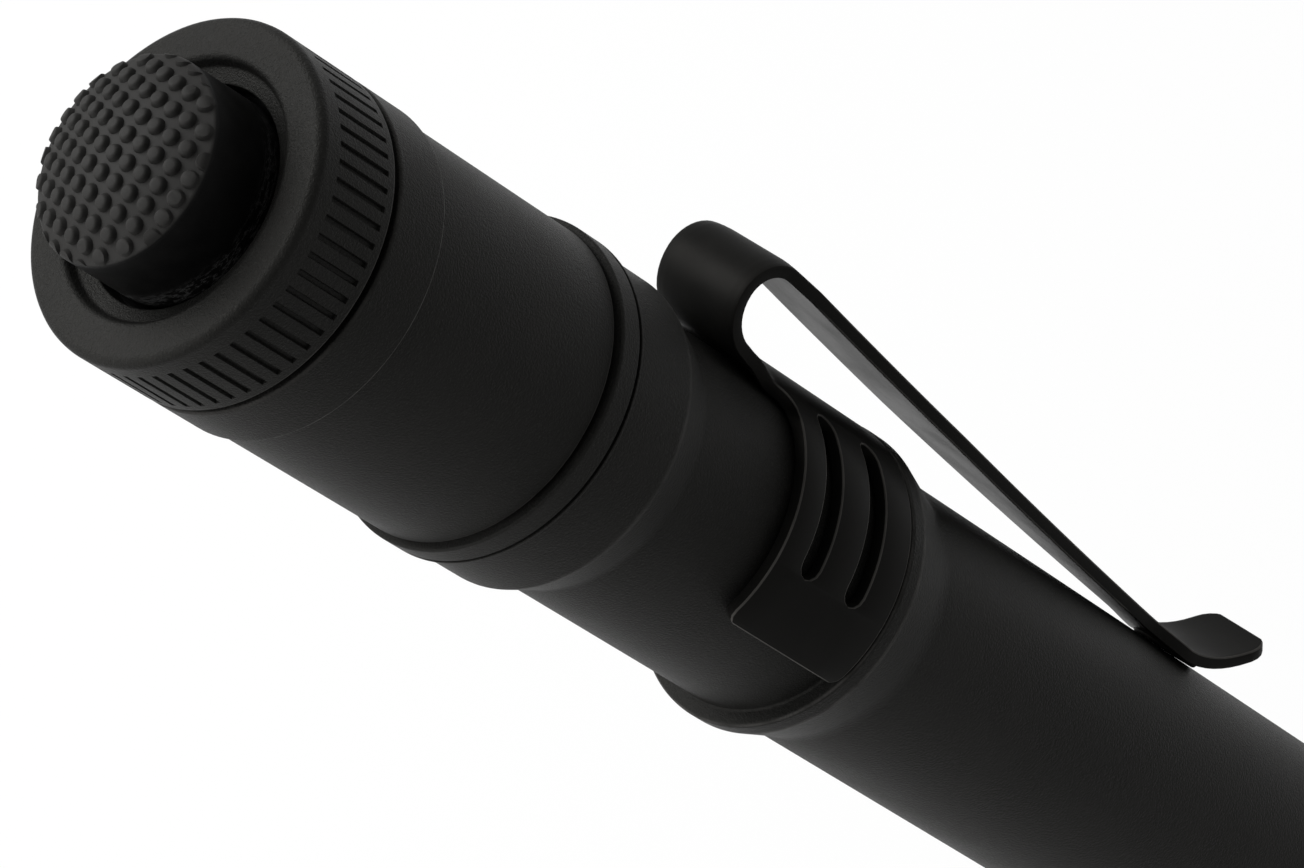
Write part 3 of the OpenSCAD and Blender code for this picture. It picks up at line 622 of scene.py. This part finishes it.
def turn_faces(clip):
    """Join the strip's rows, and turn the faces so that those of the band look at the light's axis."""
    pick(clip, "FACE", every)
    bpy.ops.mesh.remove_doubles(threshold=NEAR * MM)
    bpy.ops.mesh.normals_make_consistent(inside=False)
    done()
    band_end = min(clip.data.polygons, key=lambda face: face.center.x)
    if band_end.normal.xy.dot(band_end.center.xy) > 0:
        pick(clip, "FACE", every)
        bpy.ops.mesh.flip_normals()
        done()


def crown_loop(clip):
    """Draw the loop's edges in a little."""
    crown_step = 0.02
    for reach in (2.1, 2.3, 2.5, 2.7, 2.9):
        pick(clip, "VERT", lambda vert: vert.co.z > LOOP_LOW_Z * MM and abs(vert.co.y) > reach * MM)
        bpy.ops.transform.shrink_fatten(value=-crown_step * MM)
        done()


def press_foot(clip):
    """Round foot pressed into the arm, which rests on the tube."""
    foot_r, foot_depth, foot_x, foot_z, foot_round = 1.85, 0.7, 7.36, 66.3, 0.2
    nothing_selected()
    bpy.ops.mesh.primitive_cylinder_add(
        vertices=48, radius=foot_r * MM, depth=foot_depth * MM,
        location=(foot_x * MM, 0, foot_z * MM), rotation=(0, math.pi / 2, 0))
    foot = bpy.context.object
    place(foot)
    pick(foot, "EDGE", both_ends(foot, lambda end: end.x < foot_x))
    bpy.ops.mesh.bevel(offset=foot_round * MM, segments=4, affect="EDGES")
    done()
    use_modifier(clip, "BOOLEAN", operation="UNION", object=foot, solver="EXACT")
    bpy.data.objects.remove(foot)
    drop_slivers(clip)


def make_clip():
    """Sprung clip from one flat blank: slotted band bent round the neck, root strip, loop, arm and tip."""
    clip, half_columns = cut_blank()
    root_top = raise_root(clip, half_columns)
    bend_band(clip)
    run_strip(clip, root_top)
    turn_faces(clip)
    crown_loop(clip)
    use_modifier(clip, "SOLIDIFY", thickness=CLIP_T * MM, offset=-1, use_even_offset=True)
    for finish in (clip_finish, clip_edge_finish, clip_under_finish):
        clip.data.materials.append(finish)
    edge_finish, under_finish = 1, 2
    use_modifier(
        clip, "BEVEL", width=0.08 * MM, segments=3, limit_method="ANGLE", angle_limit=math.radians(50),
        use_clamp_overlap=False, material=edge_finish)
    press_foot(clip)

    foot_clear_x, band_clear_x, band_clear_z, loop_z = 7.05, 8, 80, 106

    def under_arm(face):
        x, _, z = face.center / MM
        off_band = x > band_clear_x or z < band_clear_z
        return face.normal.x < -0.75 and x > foot_clear_x and z < loop_z and off_band

    pick(clip, "FACE", under_arm)
    clip.active_material_index = under_finish
    bpy.ops.object.material_slot_assign()
    done()
    return smooth(clip, 60)


# Head

def make_head():
    """Head shell, with bores for the bezel's thread, the heat sink and the body's spigot."""
    low_z, slope_z, top_z, top_r = 4.2, 28.9, 30.9, 7.0
    thread_r, thread_top_z = 7.05, 7.8
    sink_bore_r, spigot_bore_r, spigot_low_z = 6.42, 6.38, 24.0
    head = turned("head_turned", rounded([
        (thread_r, low_z, 0), (HEAD_R, low_z, 0.15), (HEAD_R, slope_z, 1.5), (top_r, top_z, 0.12),
        (spigot_bore_r, top_z, 0), (spigot_bore_r, spigot_low_z, 0),
        (sink_bore_r, spigot_low_z, 0), (sink_bore_r, thread_top_z, 0), (thread_r, thread_top_z, 0)]))
    return smooth(head)


def make_bezel():
    """Bezel ring, with a lip in front of the window and a spigot that screws into the head."""
    mouth_r, face_r, chamfer_z, shoulder_z = 5.5, 7.2, 0.5, 4.1
    thread_r, thread_top_z, bore_r, lip_z = 6.97, 7.7, 6.32, 1.2
    bezel = turned("bezel_turned", rounded([
        (mouth_r, 0, 0.12), (face_r, 0, 0.12), (HEAD_R, chamfer_z, 0.12), (HEAD_R, shoulder_z, 0.15),
        (thread_r, shoulder_z, 0), (thread_r, thread_top_z, 0),
        (bore_r, thread_top_z, 0), (bore_r, lip_z, 0), (mouth_r, lip_z, 0.08)]))
    return smooth(bezel)


def make_window():
    """Flat window with eased edges."""
    window_r, low_z = 6.22, 1.7
    window = turned("window_ground", rounded([
        (0, low_z, 0), (window_r, low_z, 0.15), (window_r, WINDOW_TOP_Z, 0.15), (0, WINDOW_TOP_Z, 0)]),
        closed=False)
    return smooth(window)


def make_reflector():
    """Reflector bowl: a thin wall along a parabola, from its mouth at the window to the lamp's hole."""
    mouth_r, hole_r, depth, wall, steps = 5.72, 2.6, 9, 0.5, 28
    bowl = []
    for k in range(steps + 1):
        r = math.sqrt(mouth_r ** 2 + (hole_r ** 2 - mouth_r ** 2) * k / steps)
        bowl.append((r, WINDOW_TOP_Z + depth * k / steps))
    shell = [(r + wall, z) for r, z in bowl[::-1]]
    return smooth(turned("reflector_bowl", bowl + shell))


# Nodes of materials

def put(tree, kind, settings=None, inputs=None):
    """New node with its settings and its inputs, each a value or another node's output."""
    node = tree.nodes.new(kind)
    for key, value in (settings or {}).items():
        setattr(node, key, value)
    for key, value in (inputs or {}).items():
        if isinstance(value, bpy.types.NodeSocket):
            tree.links.new(value, node.inputs[key])
        else:
            node.inputs[key].default_value = value
    return node


def sums(tree, operation, a, b=0.0, c=0.0):
    """Result of a Math node."""
    return put(tree, "ShaderNodeMath", {"operation": operation}, {0: a, 1: b, 2: c}).outputs[0]


def between(tree, value, low, high, to_low=0.0, to_high=1.0):
    """Smooth ramp of a value from one range to another."""
    return put(tree, "ShaderNodeMapRange", {"interpolation_type": "SMOOTHSTEP"}, {
        "Value": value, "From Min": low, "From Max": high, "To Min": to_low, "To Max": to_high}).outputs[0]


def mixed(tree, part, first, second):
    """Mix of two colours, with the part that the second one has."""
    return put(tree, "ShaderNodeMix", {"data_type": "RGBA"}, {0: part, 6: first, 7: second}).outputs[2]


def noise(tree, where, scale, **settings):
    """Value of a Noise texture."""
    return put(tree, "ShaderNodeTexNoise", None, {"Vector": where, "Scale": scale, **settings}).outputs[0]


def round_axis(tree, where):
    """Distance of a point from the light's axis, and its height."""
    x, y, z = put(tree, "ShaderNodeSeparateXYZ", None, {0: where}).outputs
    squares = sums(tree, "ADD", sums(tree, "MULTIPLY", x, x), sums(tree, "MULTIPLY", y, y))
    return sums(tree, "SQRT", squares), z


def new_group(name, inputs, outputs):
    """Empty node group with its sockets: the tree, and its input and output nodes."""
    tree = bpy.data.node_groups.new(name, "ShaderNodeTree")
    for label, kind, value in inputs:
        socket = tree.interface.new_socket(name=label, in_out="INPUT", socket_type=kind)
        if value is not None:
            socket.default_value = value
    for label, kind in outputs:
        tree.interface.new_socket(name=label, in_out="OUTPUT", socket_type=kind)
    return tree, tree.nodes.new("NodeGroupInput"), tree.nodes.new("NodeGroupOutput")


def grain_group():
    """Fine grain of a blasted or moulded surface: its height, and a mask of its lightest specks."""
    tree, given, out = new_group("fine grain", [
        ("Vector", "NodeSocketVector", None), ("Grains per metre", "NodeSocketFloat", 9000.0)],
        [("Height", "NodeSocketFloat"), ("Specks", "NodeSocketFloat")])
    where, grains = given.outputs[0], given.outputs[1]
    coarse = noise(tree, where, grains, Detail=2.0, Roughness=0.6)
    fine = noise(tree, where, sums(tree, "MULTIPLY", grains, 2.3), Detail=1.0)
    height = sums(tree, "ADD", sums(tree, "MULTIPLY", coarse, 0.65), sums(tree, "MULTIPLY", fine, 0.35))
    tree.links.new(height, out.inputs["Height"])
    tree.links.new(between(tree, height, 0.54, 0.66), out.inputs["Specks"])
    return tree


def marks_group():
    """Faint uneven patches that handling leaves, from 0 to 1."""
    tree, given, out = new_group("handling marks", [
        ("Vector", "NodeSocketVector", None), ("Patches per metre", "NodeSocketFloat", 250.0)],
        [("Marks", "NodeSocketFloat")])
    patches = noise(tree, given.outputs[0], given.outputs[1], Detail=4.0, Roughness=0.55)
    tree.links.new(between(tree, patches, 0.35, 0.7), out.inputs["Marks"])
    return tree


def edge_group():
    """Thin broken lighter line on a turned edge at a given height and radius: part wear, part painted edge
    highlight.
    """
    tree, given, out = new_group("worn edge line and painted highlight", [
        ("Vector", "NodeSocketVector", None), ("Height", "NodeSocketFloat", 0.0),
        ("Width", "NodeSocketFloat", 0.0001), ("Radius", "NodeSocketFloat", 0.008)],
        [("Worn line and painted highlight", "NodeSocketFloat")])
    where, height, width, radius = [given.outputs[i] for i in range(4)]
    out_from_axis, z = round_axis(tree, where)
    away = sums(tree, "DIVIDE", sums(tree, "ABSOLUTE", sums(tree, "SUBTRACT", z, height)), width)
    reach = sums(tree, "SUBTRACT", out_from_axis, radius)
    at_radius = between(tree, reach, -0.16 * MM, -0.06 * MM)
    # The lighter line is a painted edge highlight as well as worn anodising.
    line = sums(tree, "MULTIPLY", between(tree, away, 1.0, 0.3), at_radius)
    breaks = between(tree, noise(tree, where, 700.0, Detail=3.0), 0.3, 0.6, 0.25, 1.0)
    tree.links.new(sums(tree, "MULTIPLY", line, breaks), out.inputs["Worn line and painted highlight"])
    return tree


GRAIN = grain_group()
MARKS = marks_group()
EDGE = edge_group()


def new_material(name, **plain):
    """Material with one Principled shader, its plain values set, and the surface's own coordinates."""
    material = bpy.data.materials.new(name)
    material.use_nodes = True
    tree = material.node_tree
    shader = tree.nodes["Principled BSDF"]
    for key, value in plain.items():
        shader.inputs[key.replace("_", " ")].default_value = value
    where = put(tree, "ShaderNodeTexCoord").outputs["Object"]
    return material, tree, shader, where


def use_group(tree, group, **inputs):
    """Node group placed in a material, with its own values."""
    named = {key.replace("_", " "): value for key, value in inputs.items()}
    return put(tree, "ShaderNodeGroup", {"node_tree": group}, named)


def grain_and_marks(tree, where, grains, patches):
    """Height and specks of the fine grain, and the handling marks."""
    grain = use_group(tree, GRAIN, Vector=where, Grains_per_metre=grains)
    marks = use_group(tree, MARKS, Vector=where, Patches_per_metre=patches)
    return grain.outputs["Height"], grain.outputs["Specks"], marks.outputs[0]


def raised(tree, shader, height, strength, distance):
    """Relief from a height, through a Bump node."""
    bump = put(tree, "ShaderNodeBump", None, {"Height": height, "Strength": strength, "Distance": distance})
    tree.links.new(bump.outputs[0], shader.inputs["Normal"])


# Finishes of the outside

def blasted_black(name, worn_and_highlit_edges):
    """Bead-blasted black anodising, with thin lighter lines on edges, part wear and part painted edge
    highlight (height, width, strength, radius).
    """
    material, tree, shader, where = new_material(
        name, Specular_IOR_Level=0.05, Specular_Tint=(1.0, 0.985, 0.92, 1))
    grain, specks, marks = grain_and_marks(tree, where, 8500.0, 220.0)
    tone = mixed(tree, marks, (0.008, 0.008, 0.0075, 1), (0.011, 0.0108, 0.0102, 1))
    tone = mixed(tree, sums(tree, "MULTIPLY", specks, 0.2), tone, (0.045, 0.044, 0.041, 1))
    # Lighter lines on edges: painted edge highlights, also standing for worn anodising.
    for height, width, strength, radius in worn_and_highlit_edges:
        wear_and_highlight = use_group(tree, EDGE, Vector=where, Height=height * MM, Width=width * MM, Radius=radius * MM)
        tone = mixed(tree, sums(tree, "MULTIPLY", wear_and_highlight.outputs[0], strength), tone, (0.12, 0.115, 0.11, 1))
    tree.links.new(tone, shader.inputs["Base Color"])
    rough = sums(tree, "ADD", sums(tree, "MULTIPLY", grain, 0.16),
                 sums(tree, "MULTIPLY_ADD", marks, 0.05, 0.34))
    tree.links.new(rough, shader.inputs["Roughness"])
    raised(tree, shader, grain, 1.0, 0.07 * MM)
    return material


def clip_black(name, rub_and_highlight, rough, shine):
    """Black finish on the spring-steel clip, lighter on the outer edges of its band: painted edge highlight,
    also standing for rubbed wear.
    """
    band_inner_r, band_outer_r = 7.76, 7.84
    rub_and_highlight_full_z, rub_and_highlight_end_z = 102.5, 104.0
    material, tree, shader, where = new_material(
        name, Specular_IOR_Level=shine, Specular_Tint=(1.0, 0.95, 0.88, 1))
    grain, _, marks = grain_and_marks(tree, where, 5200.0, 300.0)
    tone = mixed(tree, marks, (0.0044, 0.0044, 0.0041, 1), (0.006, 0.0059, 0.0055, 1))
    out, z = round_axis(tree, where)
    # Lighter outer edges of the band: painted edge highlight, also standing for rubbed wear.
    on_band = between(tree, z, rub_and_highlight_end_z * MM, rub_and_highlight_full_z * MM)
    on_edge = between(tree, out, band_inner_r * MM, band_outer_r * MM)
    patchy = sums(tree, "MULTIPLY_ADD", marks, 0.4 * rub_and_highlight, 0.6 * rub_and_highlight)
    rub_and_highlight_mask = sums(tree, "MULTIPLY", sums(tree, "MULTIPLY", on_band, on_edge), patchy)
    tone = mixed(tree, rub_and_highlight_mask, tone, (0.075, 0.072, 0.067, 1))
    tree.links.new(tone, shader.inputs["Base Color"])
    uneven = sums(tree, "ADD", sums(tree, "MULTIPLY", grain, 0.1),
                  sums(tree, "MULTIPLY_ADD", marks, 0.06, rough))
    tree.links.new(uneven, shader.inputs["Roughness"])
    raised(tree, shader, grain, 0.25, 0.01 * MM)
    return material


def button_black():
    """Moulded rubber: matte on the bumped dome, dark down the side, scuffed where it enters the ring."""
    scuff_low_z, scuff_full_z, scuff_fade_z, scuff_top_z = 136.6, 137.0, 137.3, 138.0
    material, tree, shader, where = new_material("button rubber black", Specular_IOR_Level=0.05)
    z = put(tree, "ShaderNodeSeparateXYZ", None, {0: where}).outputs["Z"]
    grain, _, marks = grain_and_marks(tree, where, 7000.0, 900.0)
    top = between(tree, z, (RIM_Z - 0.08) * MM, (RIM_Z + 0.02) * MM)
    tone = mixed(tree, top, (0.0022, 0.0022, 0.0022, 1), (0.02, 0.0196, 0.0188, 1))
    tone = mixed(tree, sums(tree, "MULTIPLY", marks, 0.15), tone, (0.016, 0.0155, 0.015, 1))
    stretched = put(tree, "ShaderNodeMapping", None, {"Vector": where, "Scale": (1.0, 1.0, 4.0)}).outputs[0]
    scratch = noise(tree, stretched, 900.0, Detail=6.0, Roughness=0.7)
    thin = between(tree, sums(tree, "ABSOLUTE", sums(tree, "SUBTRACT", scratch, 0.5)), 0.03, 0.0)
    low = sums(tree, "MULTIPLY", between(tree, z, scuff_top_z * MM, scuff_fade_z * MM),
               between(tree, z, scuff_low_z * MM, scuff_full_z * MM))
    scuff = sums(tree, "MULTIPLY", sums(tree, "MULTIPLY", thin, low), 0.5)
    tone = mixed(tree, scuff, tone, (0.12, 0.12, 0.12, 1))
    tree.links.new(tone, shader.inputs["Base Color"])
    rough = sums(tree, "ADD", between(tree, top, 0.0, 1.0, 0.36, 0.5), sums(tree, "MULTIPLY", grain, 0.12))
    tree.links.new(rough, shader.inputs["Roughness"])
    raised(tree, shader, grain, 0.35, 0.015 * MM)
    return material


def window_finish():
    """Clear window, with a faint haze of handling."""
    material, tree, shader, where = new_material(
        "window clear", Transmission_Weight=1.0, IOR=1.5, Base_Color=(0.97, 0.99, 0.98, 1))
    marks = use_group(tree, MARKS, Vector=where, Patches_per_metre=350.0).outputs[0]
    tree.links.new(sums(tree, "MULTIPLY_ADD", marks, 0.02, 0.01), shader.inputs["Roughness"])
    return material


# Finishes of the inside

def simple_finish(name, dark, light, rough, grains, patches, **plain):
    """Plain finish of an inner piece: two near tones in patches, and a fine grain."""
    material, tree, shader, where = new_material(name, **plain)
    grain, _, marks = grain_and_marks(tree, where, grains, patches)
    tree.links.new(mixed(tree, marks, dark + (1,), light + (1,)), shader.inputs["Base Color"])
    tree.links.new(sums(tree, "MULTIPLY_ADD", grain, 0.12, rough - 0.06), shader.inputs["Roughness"])
    raised(tree, shader, grain, 0.2, 0.01 * MM)
    return material


def cell_jacket():
    """Plain cell: a dark and a copper band of jacket, with bare metal at the ends."""
    bare_r, jacket_r = 4.9, 5.1
    first_cell_z, cell_pitch = 31.0, 44.5
    copper_end, dark_start = 11.6, 12.0
    material, tree, shader, where = new_material("cell jacket", Specular_IOR_Level=0.5)
    out, z = round_axis(tree, where)
    side = between(tree, out, bare_r * MM, jacket_r * MM)
    along = sums(tree, "MODULO", sums(tree, "SUBTRACT", z, first_cell_z * MM), cell_pitch * MM)
    dark = between(tree, along, copper_end * MM, dark_start * MM)
    marks = use_group(tree, MARKS, Vector=where, Patches_per_metre=400.0).outputs[0]
    jacket = mixed(tree, dark, (0.5, 0.27, 0.1, 1), (0.02, 0.02, 0.022, 1))
    tone = mixed(tree, side, (0.62, 0.61, 0.58, 1), jacket)
    tone = mixed(tree, sums(tree, "MULTIPLY", marks, 0.12), tone, (0.3, 0.29, 0.28, 1))
    tree.links.new(tone, shader.inputs["Base Color"])
    tree.links.new(sums(tree, "SUBTRACT", 1.0, sums(tree, "MULTIPLY", side, 0.8)), shader.inputs["Metallic"])
    tree.links.new(sums(tree, "MULTIPLY_ADD", marks, 0.12, 0.26), shader.inputs["Roughness"])
    return material


def lamp_finish():
    """Lamp: white base, yellow under its clear dome."""
    dome_r, base_r = 1.28, 1.36
    material, tree, shader, where = new_material("lamp yellow", Specular_IOR_Level=0.5, Coat_Weight=0.6)
    out, _ = round_axis(tree, where)
    grain = use_group(tree, GRAIN, Vector=where, Grains_per_metre=6000.0).outputs["Height"]
    yellow = mixed(tree, grain, (0.72, 0.52, 0.08, 1), (0.85, 0.66, 0.16, 1))
    tone = mixed(tree, between(tree, out, dome_r * MM, base_r * MM), yellow, (0.8, 0.79, 0.75, 1))
    tree.links.new(tone, shader.inputs["Base Color"])
    tree.links.new(sums(tree, "MULTIPLY_ADD", grain, 0.15, 0.2), shader.inputs["Roughness"])
    return material


def mirror_finish():
    """Metallised bowl with faint rings left by its tool."""
    material, tree, shader, where = new_material("reflector metal", Metallic=1.0)
    rings = put(tree, "ShaderNodeTexWave", {"bands_direction": "Z", "wave_profile": "SIN"}, {
        "Vector": where, "Scale": 1200.0, "Distortion": 0.6})
    marks = use_group(tree, MARKS, Vector=where, Patches_per_metre=500.0).outputs[0]
    tone = mixed(tree, marks, (0.86, 0.86, 0.86, 1), (0.92, 0.92, 0.91, 1))
    tree.links.new(tone, shader.inputs["Base Color"])
    tree.links.new(sums(tree, "MULTIPLY_ADD", marks, 0.05, 0.06), shader.inputs["Roughness"])
    raised(tree, shader, rings.outputs[1], 0.04, 0.01 * MM)
    return material


# The dressed light

def dress(piece, body, nodes, finish):
    """Give a piece its finish, put it on the body that it rides on, and hide the nodes that it stands for."""
    piece.data.materials.clear()
    piece.data.materials.append(finish)
    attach(piece, body)
    if nodes:
        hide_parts(*nodes)


# The edge lines of these finishes are painted highlights as well as wear.
body_black = blasted_black("blasted black", [
    (FLANGE_TOP_Z - 0.03, 0.12, 0.25, SLEEVE_R), (FLANGE_LOW_Z + 0.05, 0.16, 0.25, SLEEVE_R),
    (FRONT_LOW_Z - 0.05, 0.25, 0.12, SLEEVE_R)])
cap_black = blasted_black("blasted black cap", [
    (COLLAR_LOW_Z, 0.09, 0.8, 8.0), (CAP_LOW_Z + 0.05, 0.14, 0.25, SLEEVE_R),
    (COLLAR_TOP_Z - 0.05, 0.14, 0.15, RING_R)])
ring_black = blasted_black("blasted black rings", [(RING_LOW_Z + 0.05, 0.1, 0.2, RING_R)])
# The edge finish carries the band's painted edge highlight, which also stands for rubbed wear.
clip_finish = clip_black("satin clip black", rub_and_highlight=0.0, rough=0.4, shine=0.03)
clip_edge_finish = clip_black("satin clip edge", rub_and_highlight=0.8, rough=0.4, shine=0.05)
clip_under_finish = clip_black("smooth clip underside", rub_and_highlight=0.0, rough=0.3, shine=0.06)
button_finish = button_black()

DRESS = [
    (make_tail_ring, "cap", ["tail_ring"], "anodised_body", ring_black),
    (make_button, "button", ["switch_button"], "button_rubber", button_finish),
    (make_cap, "cap", ["tail_cap"], "anodised_body", cap_black),
    (make_joint_ring, "body", ["joint_ring"], "anodised_body", ring_black),
    (make_body, "body", ["body_tube"], "anodised_body", body_black),
    (make_thread, "body", [], "anodised_body", body_black),
    (make_head, "body", ["head_shell"], "anodised_body", body_black),
    (make_bezel, "body", ["bezel_ring"], "anodised_body", ring_black),
    (make_window, "body", ["lens_window"], "window_glass", window_finish()),
    (make_reflector, "body", ["reflector"], "reflector_metal", mirror_finish()),
]
for make, body, nodes, slot, finish in DRESS:
    dress(make(), body, nodes, finish)

# The clip, in one mesh, takes the place of its band and arm nodes, which are hidden
clip = make_clip()
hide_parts("clip_band", "clip_arm")
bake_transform(clip)

steel = simple_finish(
    "bright spring wire", (0.55, 0.53, 0.5), (0.66, 0.64, 0.6), 0.24, 6000.0, 800.0, Metallic=1.0)
spring = make_return_spring()
dress(spring, "cap", ["switch_spring"], steel)
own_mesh(spring)

gold = simple_finish(
    "plated contact", (0.72, 0.5, 0.2), (0.82, 0.6, 0.28), 0.24, 5000.0, 700.0, Metallic=1.0)
bare = simple_finish(
    "turned aluminium", (0.6, 0.6, 0.61), (0.72, 0.72, 0.73), 0.3, 4000.0, 500.0, Metallic=1.0)
board = simple_finish("board green", (0.012, 0.075, 0.03), (0.018, 0.1, 0.042), 0.35, 3000.0, 900.0)
white_board = simple_finish("lamp board white", (0.72, 0.72, 0.7), (0.8, 0.8, 0.78), 0.4, 3000.0, 700.0)
housing = simple_finish("switch housing", (0.018, 0.018, 0.018), (0.03, 0.03, 0.03), 0.5, 6000.0, 600.0)
ivory = simple_finish("plunger ivory", (0.6, 0.57, 0.48), (0.7, 0.67, 0.58), 0.45, 6000.0, 600.0)
seal = simple_finish("seal rubber", (0.008, 0.008, 0.008), (0.014, 0.014, 0.014), 0.42, 7000.0, 900.0)
jacket = cell_jacket()
NODE_FINISH = {
    "switch_plunger": ivory, "switch_body": housing, "switch_contact": gold,
    "switch_board": board, "retaining_ring": bare, "battery_spring": steel, "cap_seal": seal,
    "rear_cell": jacket, "front_cell": jacket, "head_contact": gold, "driver_board": board, "heat_sink": bare,
    "led_board": white_board, "led_emitter": lamp_finish(), "lens_gasket": seal, "head_seal": seal}
for node, finish in NODE_FINISH.items():
    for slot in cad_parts[node].material_slots:
        slot.material = finish


# Floor, light and camera

def background_rays(tree):
    """Rays that see the white background: straight from the camera, off a shiny surface or through glass."""
    rays = put(tree, "ShaderNodeLightPath").outputs
    straight = sums(tree, "ADD", rays["Is Camera Ray"], rays["Is Transmission Ray"])
    return sums(tree, "MINIMUM", sums(tree, "ADD", straight, rays["Is Glossy Ray"]), 1.0)


def make_floor():
    """Plain pale floor, which shows white and keeps the shadow."""
    floor_size, floor_drop = 4.0, 0.2 * MM
    white_part = 0.85
    nothing_selected()
    bpy.ops.mesh.primitive_plane_add(size=floor_size, location=(0, 0, -floor_drop))
    floor = bpy.context.object
    floor.name = "floor"
    place(floor)
    material = bpy.data.materials.new("floor white")
    material.use_nodes = True
    tree = material.node_tree
    tree.nodes.clear()
    seen = background_rays(tree)
    matte = put(tree, "ShaderNodeBsdfDiffuse", None, {"Color": (0.55, 0.55, 0.55, 1)})
    white = put(tree, "ShaderNodeEmission", None, {"Color": (1, 1, 1, 1), "Strength": 1.0})
    shown = put(tree, "ShaderNodeMixShader", None, {
        0: sums(tree, "MULTIPLY", seen, white_part), 1: matte.outputs[0], 2: white.outputs[0]})
    put(tree, "ShaderNodeOutputMaterial", None, {"Surface": shown.outputs[0]})
    floor.data.materials.append(material)


def make_world():
    """White background; the soft light that it gives is pale above and behind, and dim below and in front."""
    world = bpy.data.worlds.new("studio")
    bpy.context.scene.world = world
    world.use_nodes = True
    tree = world.node_tree
    tree.nodes.clear()
    seen = background_rays(tree)
    where = put(tree, "ShaderNodeTexCoord").outputs["Generated"]
    _, back, up = put(tree, "ShaderNodeSeparateXYZ", None, {0: where}).outputs
    pale = sums(tree, "MULTIPLY", between(tree, up, -0.15, 0.35), between(tree, back, -0.75, 0.05, 0.25, 1.0))
    sky = mixed(tree, pale, (0.03, 0.03, 0.03, 1), (0.55, 0.55, 0.55, 1))
    tone = mixed(tree, seen, sky, (1, 1, 1, 1))
    background = put(tree, "ShaderNodeBackground", None, {"Color": tone, "Strength": 1.0})
    put(tree, "ShaderNodeOutputWorld", None, {"Surface": background.outputs[0]})


def add_lamp(name, position, power):
    """Square soft lamp, half a metre across, aimed at the light."""
    target = Vector((0, 0, 0.1))
    data = bpy.data.lights.new(name, "AREA")
    data.shape = "SQUARE"
    data.size = 0.5
    data.energy = power
    lamp = bpy.data.objects.new(name, data)
    bpy.context.scene.collection.objects.link(lamp)
    lamp.location = position
    lamp.rotation_mode = "QUATERNION"
    lamp.rotation_quaternion = (target - Vector(position)).to_track_quat("-Z", "Y")


def make_camera():
    """Camera of the photograph, from the fitted viewing direction, turn and distance."""
    photo_width_px, focal_px = 1304, 6673.4
    sensor_width = 36
    aim_right, aim_down, aim_ahead = -20.243, -10.325, 284.276
    tilt, turn = math.radians(44.613), math.radians(32.695)
    ahead = Vector((0, math.sin(tilt), -math.cos(tilt)))
    right = Vector((math.sin(turn), -math.cos(tilt) * math.cos(turn), -math.sin(tilt) * math.cos(turn)))
    down = Vector((-math.cos(turn), -math.cos(tilt) * math.sin(turn), -math.sin(tilt) * math.sin(turn)))
    aim = Vector((0, 0, FACE_Z - 0.3))
    spot = aim - (right * aim_right + down * aim_down + ahead * aim_ahead)
    data = bpy.data.cameras.new("camera")
    data.sensor_fit = "HORIZONTAL"
    data.sensor_width = sensor_width
    data.lens = sensor_width * focal_px / photo_width_px
    data.clip_start = 0.01
    data.clip_end = 20
    camera = bpy.data.objects.new("camera", data)
    bpy.context.scene.collection.objects.link(camera)
    facing = Matrix((right, -down, -ahead)).transposed().to_4x4()
    camera.matrix_world = Matrix.Translation(spot * MM) @ facing
    bpy.context.scene.camera = camera


make_floor()
make_world()
add_lamp("key", (0.05, 0.5, 0.75), 9.0)
add_lamp("fill", (-0.5, 0.1, 0.45), 3.0)
make_camera()

bpy.context.scene.view_settings.view_transform = "Standard"
bpy.context.view_layer.update()
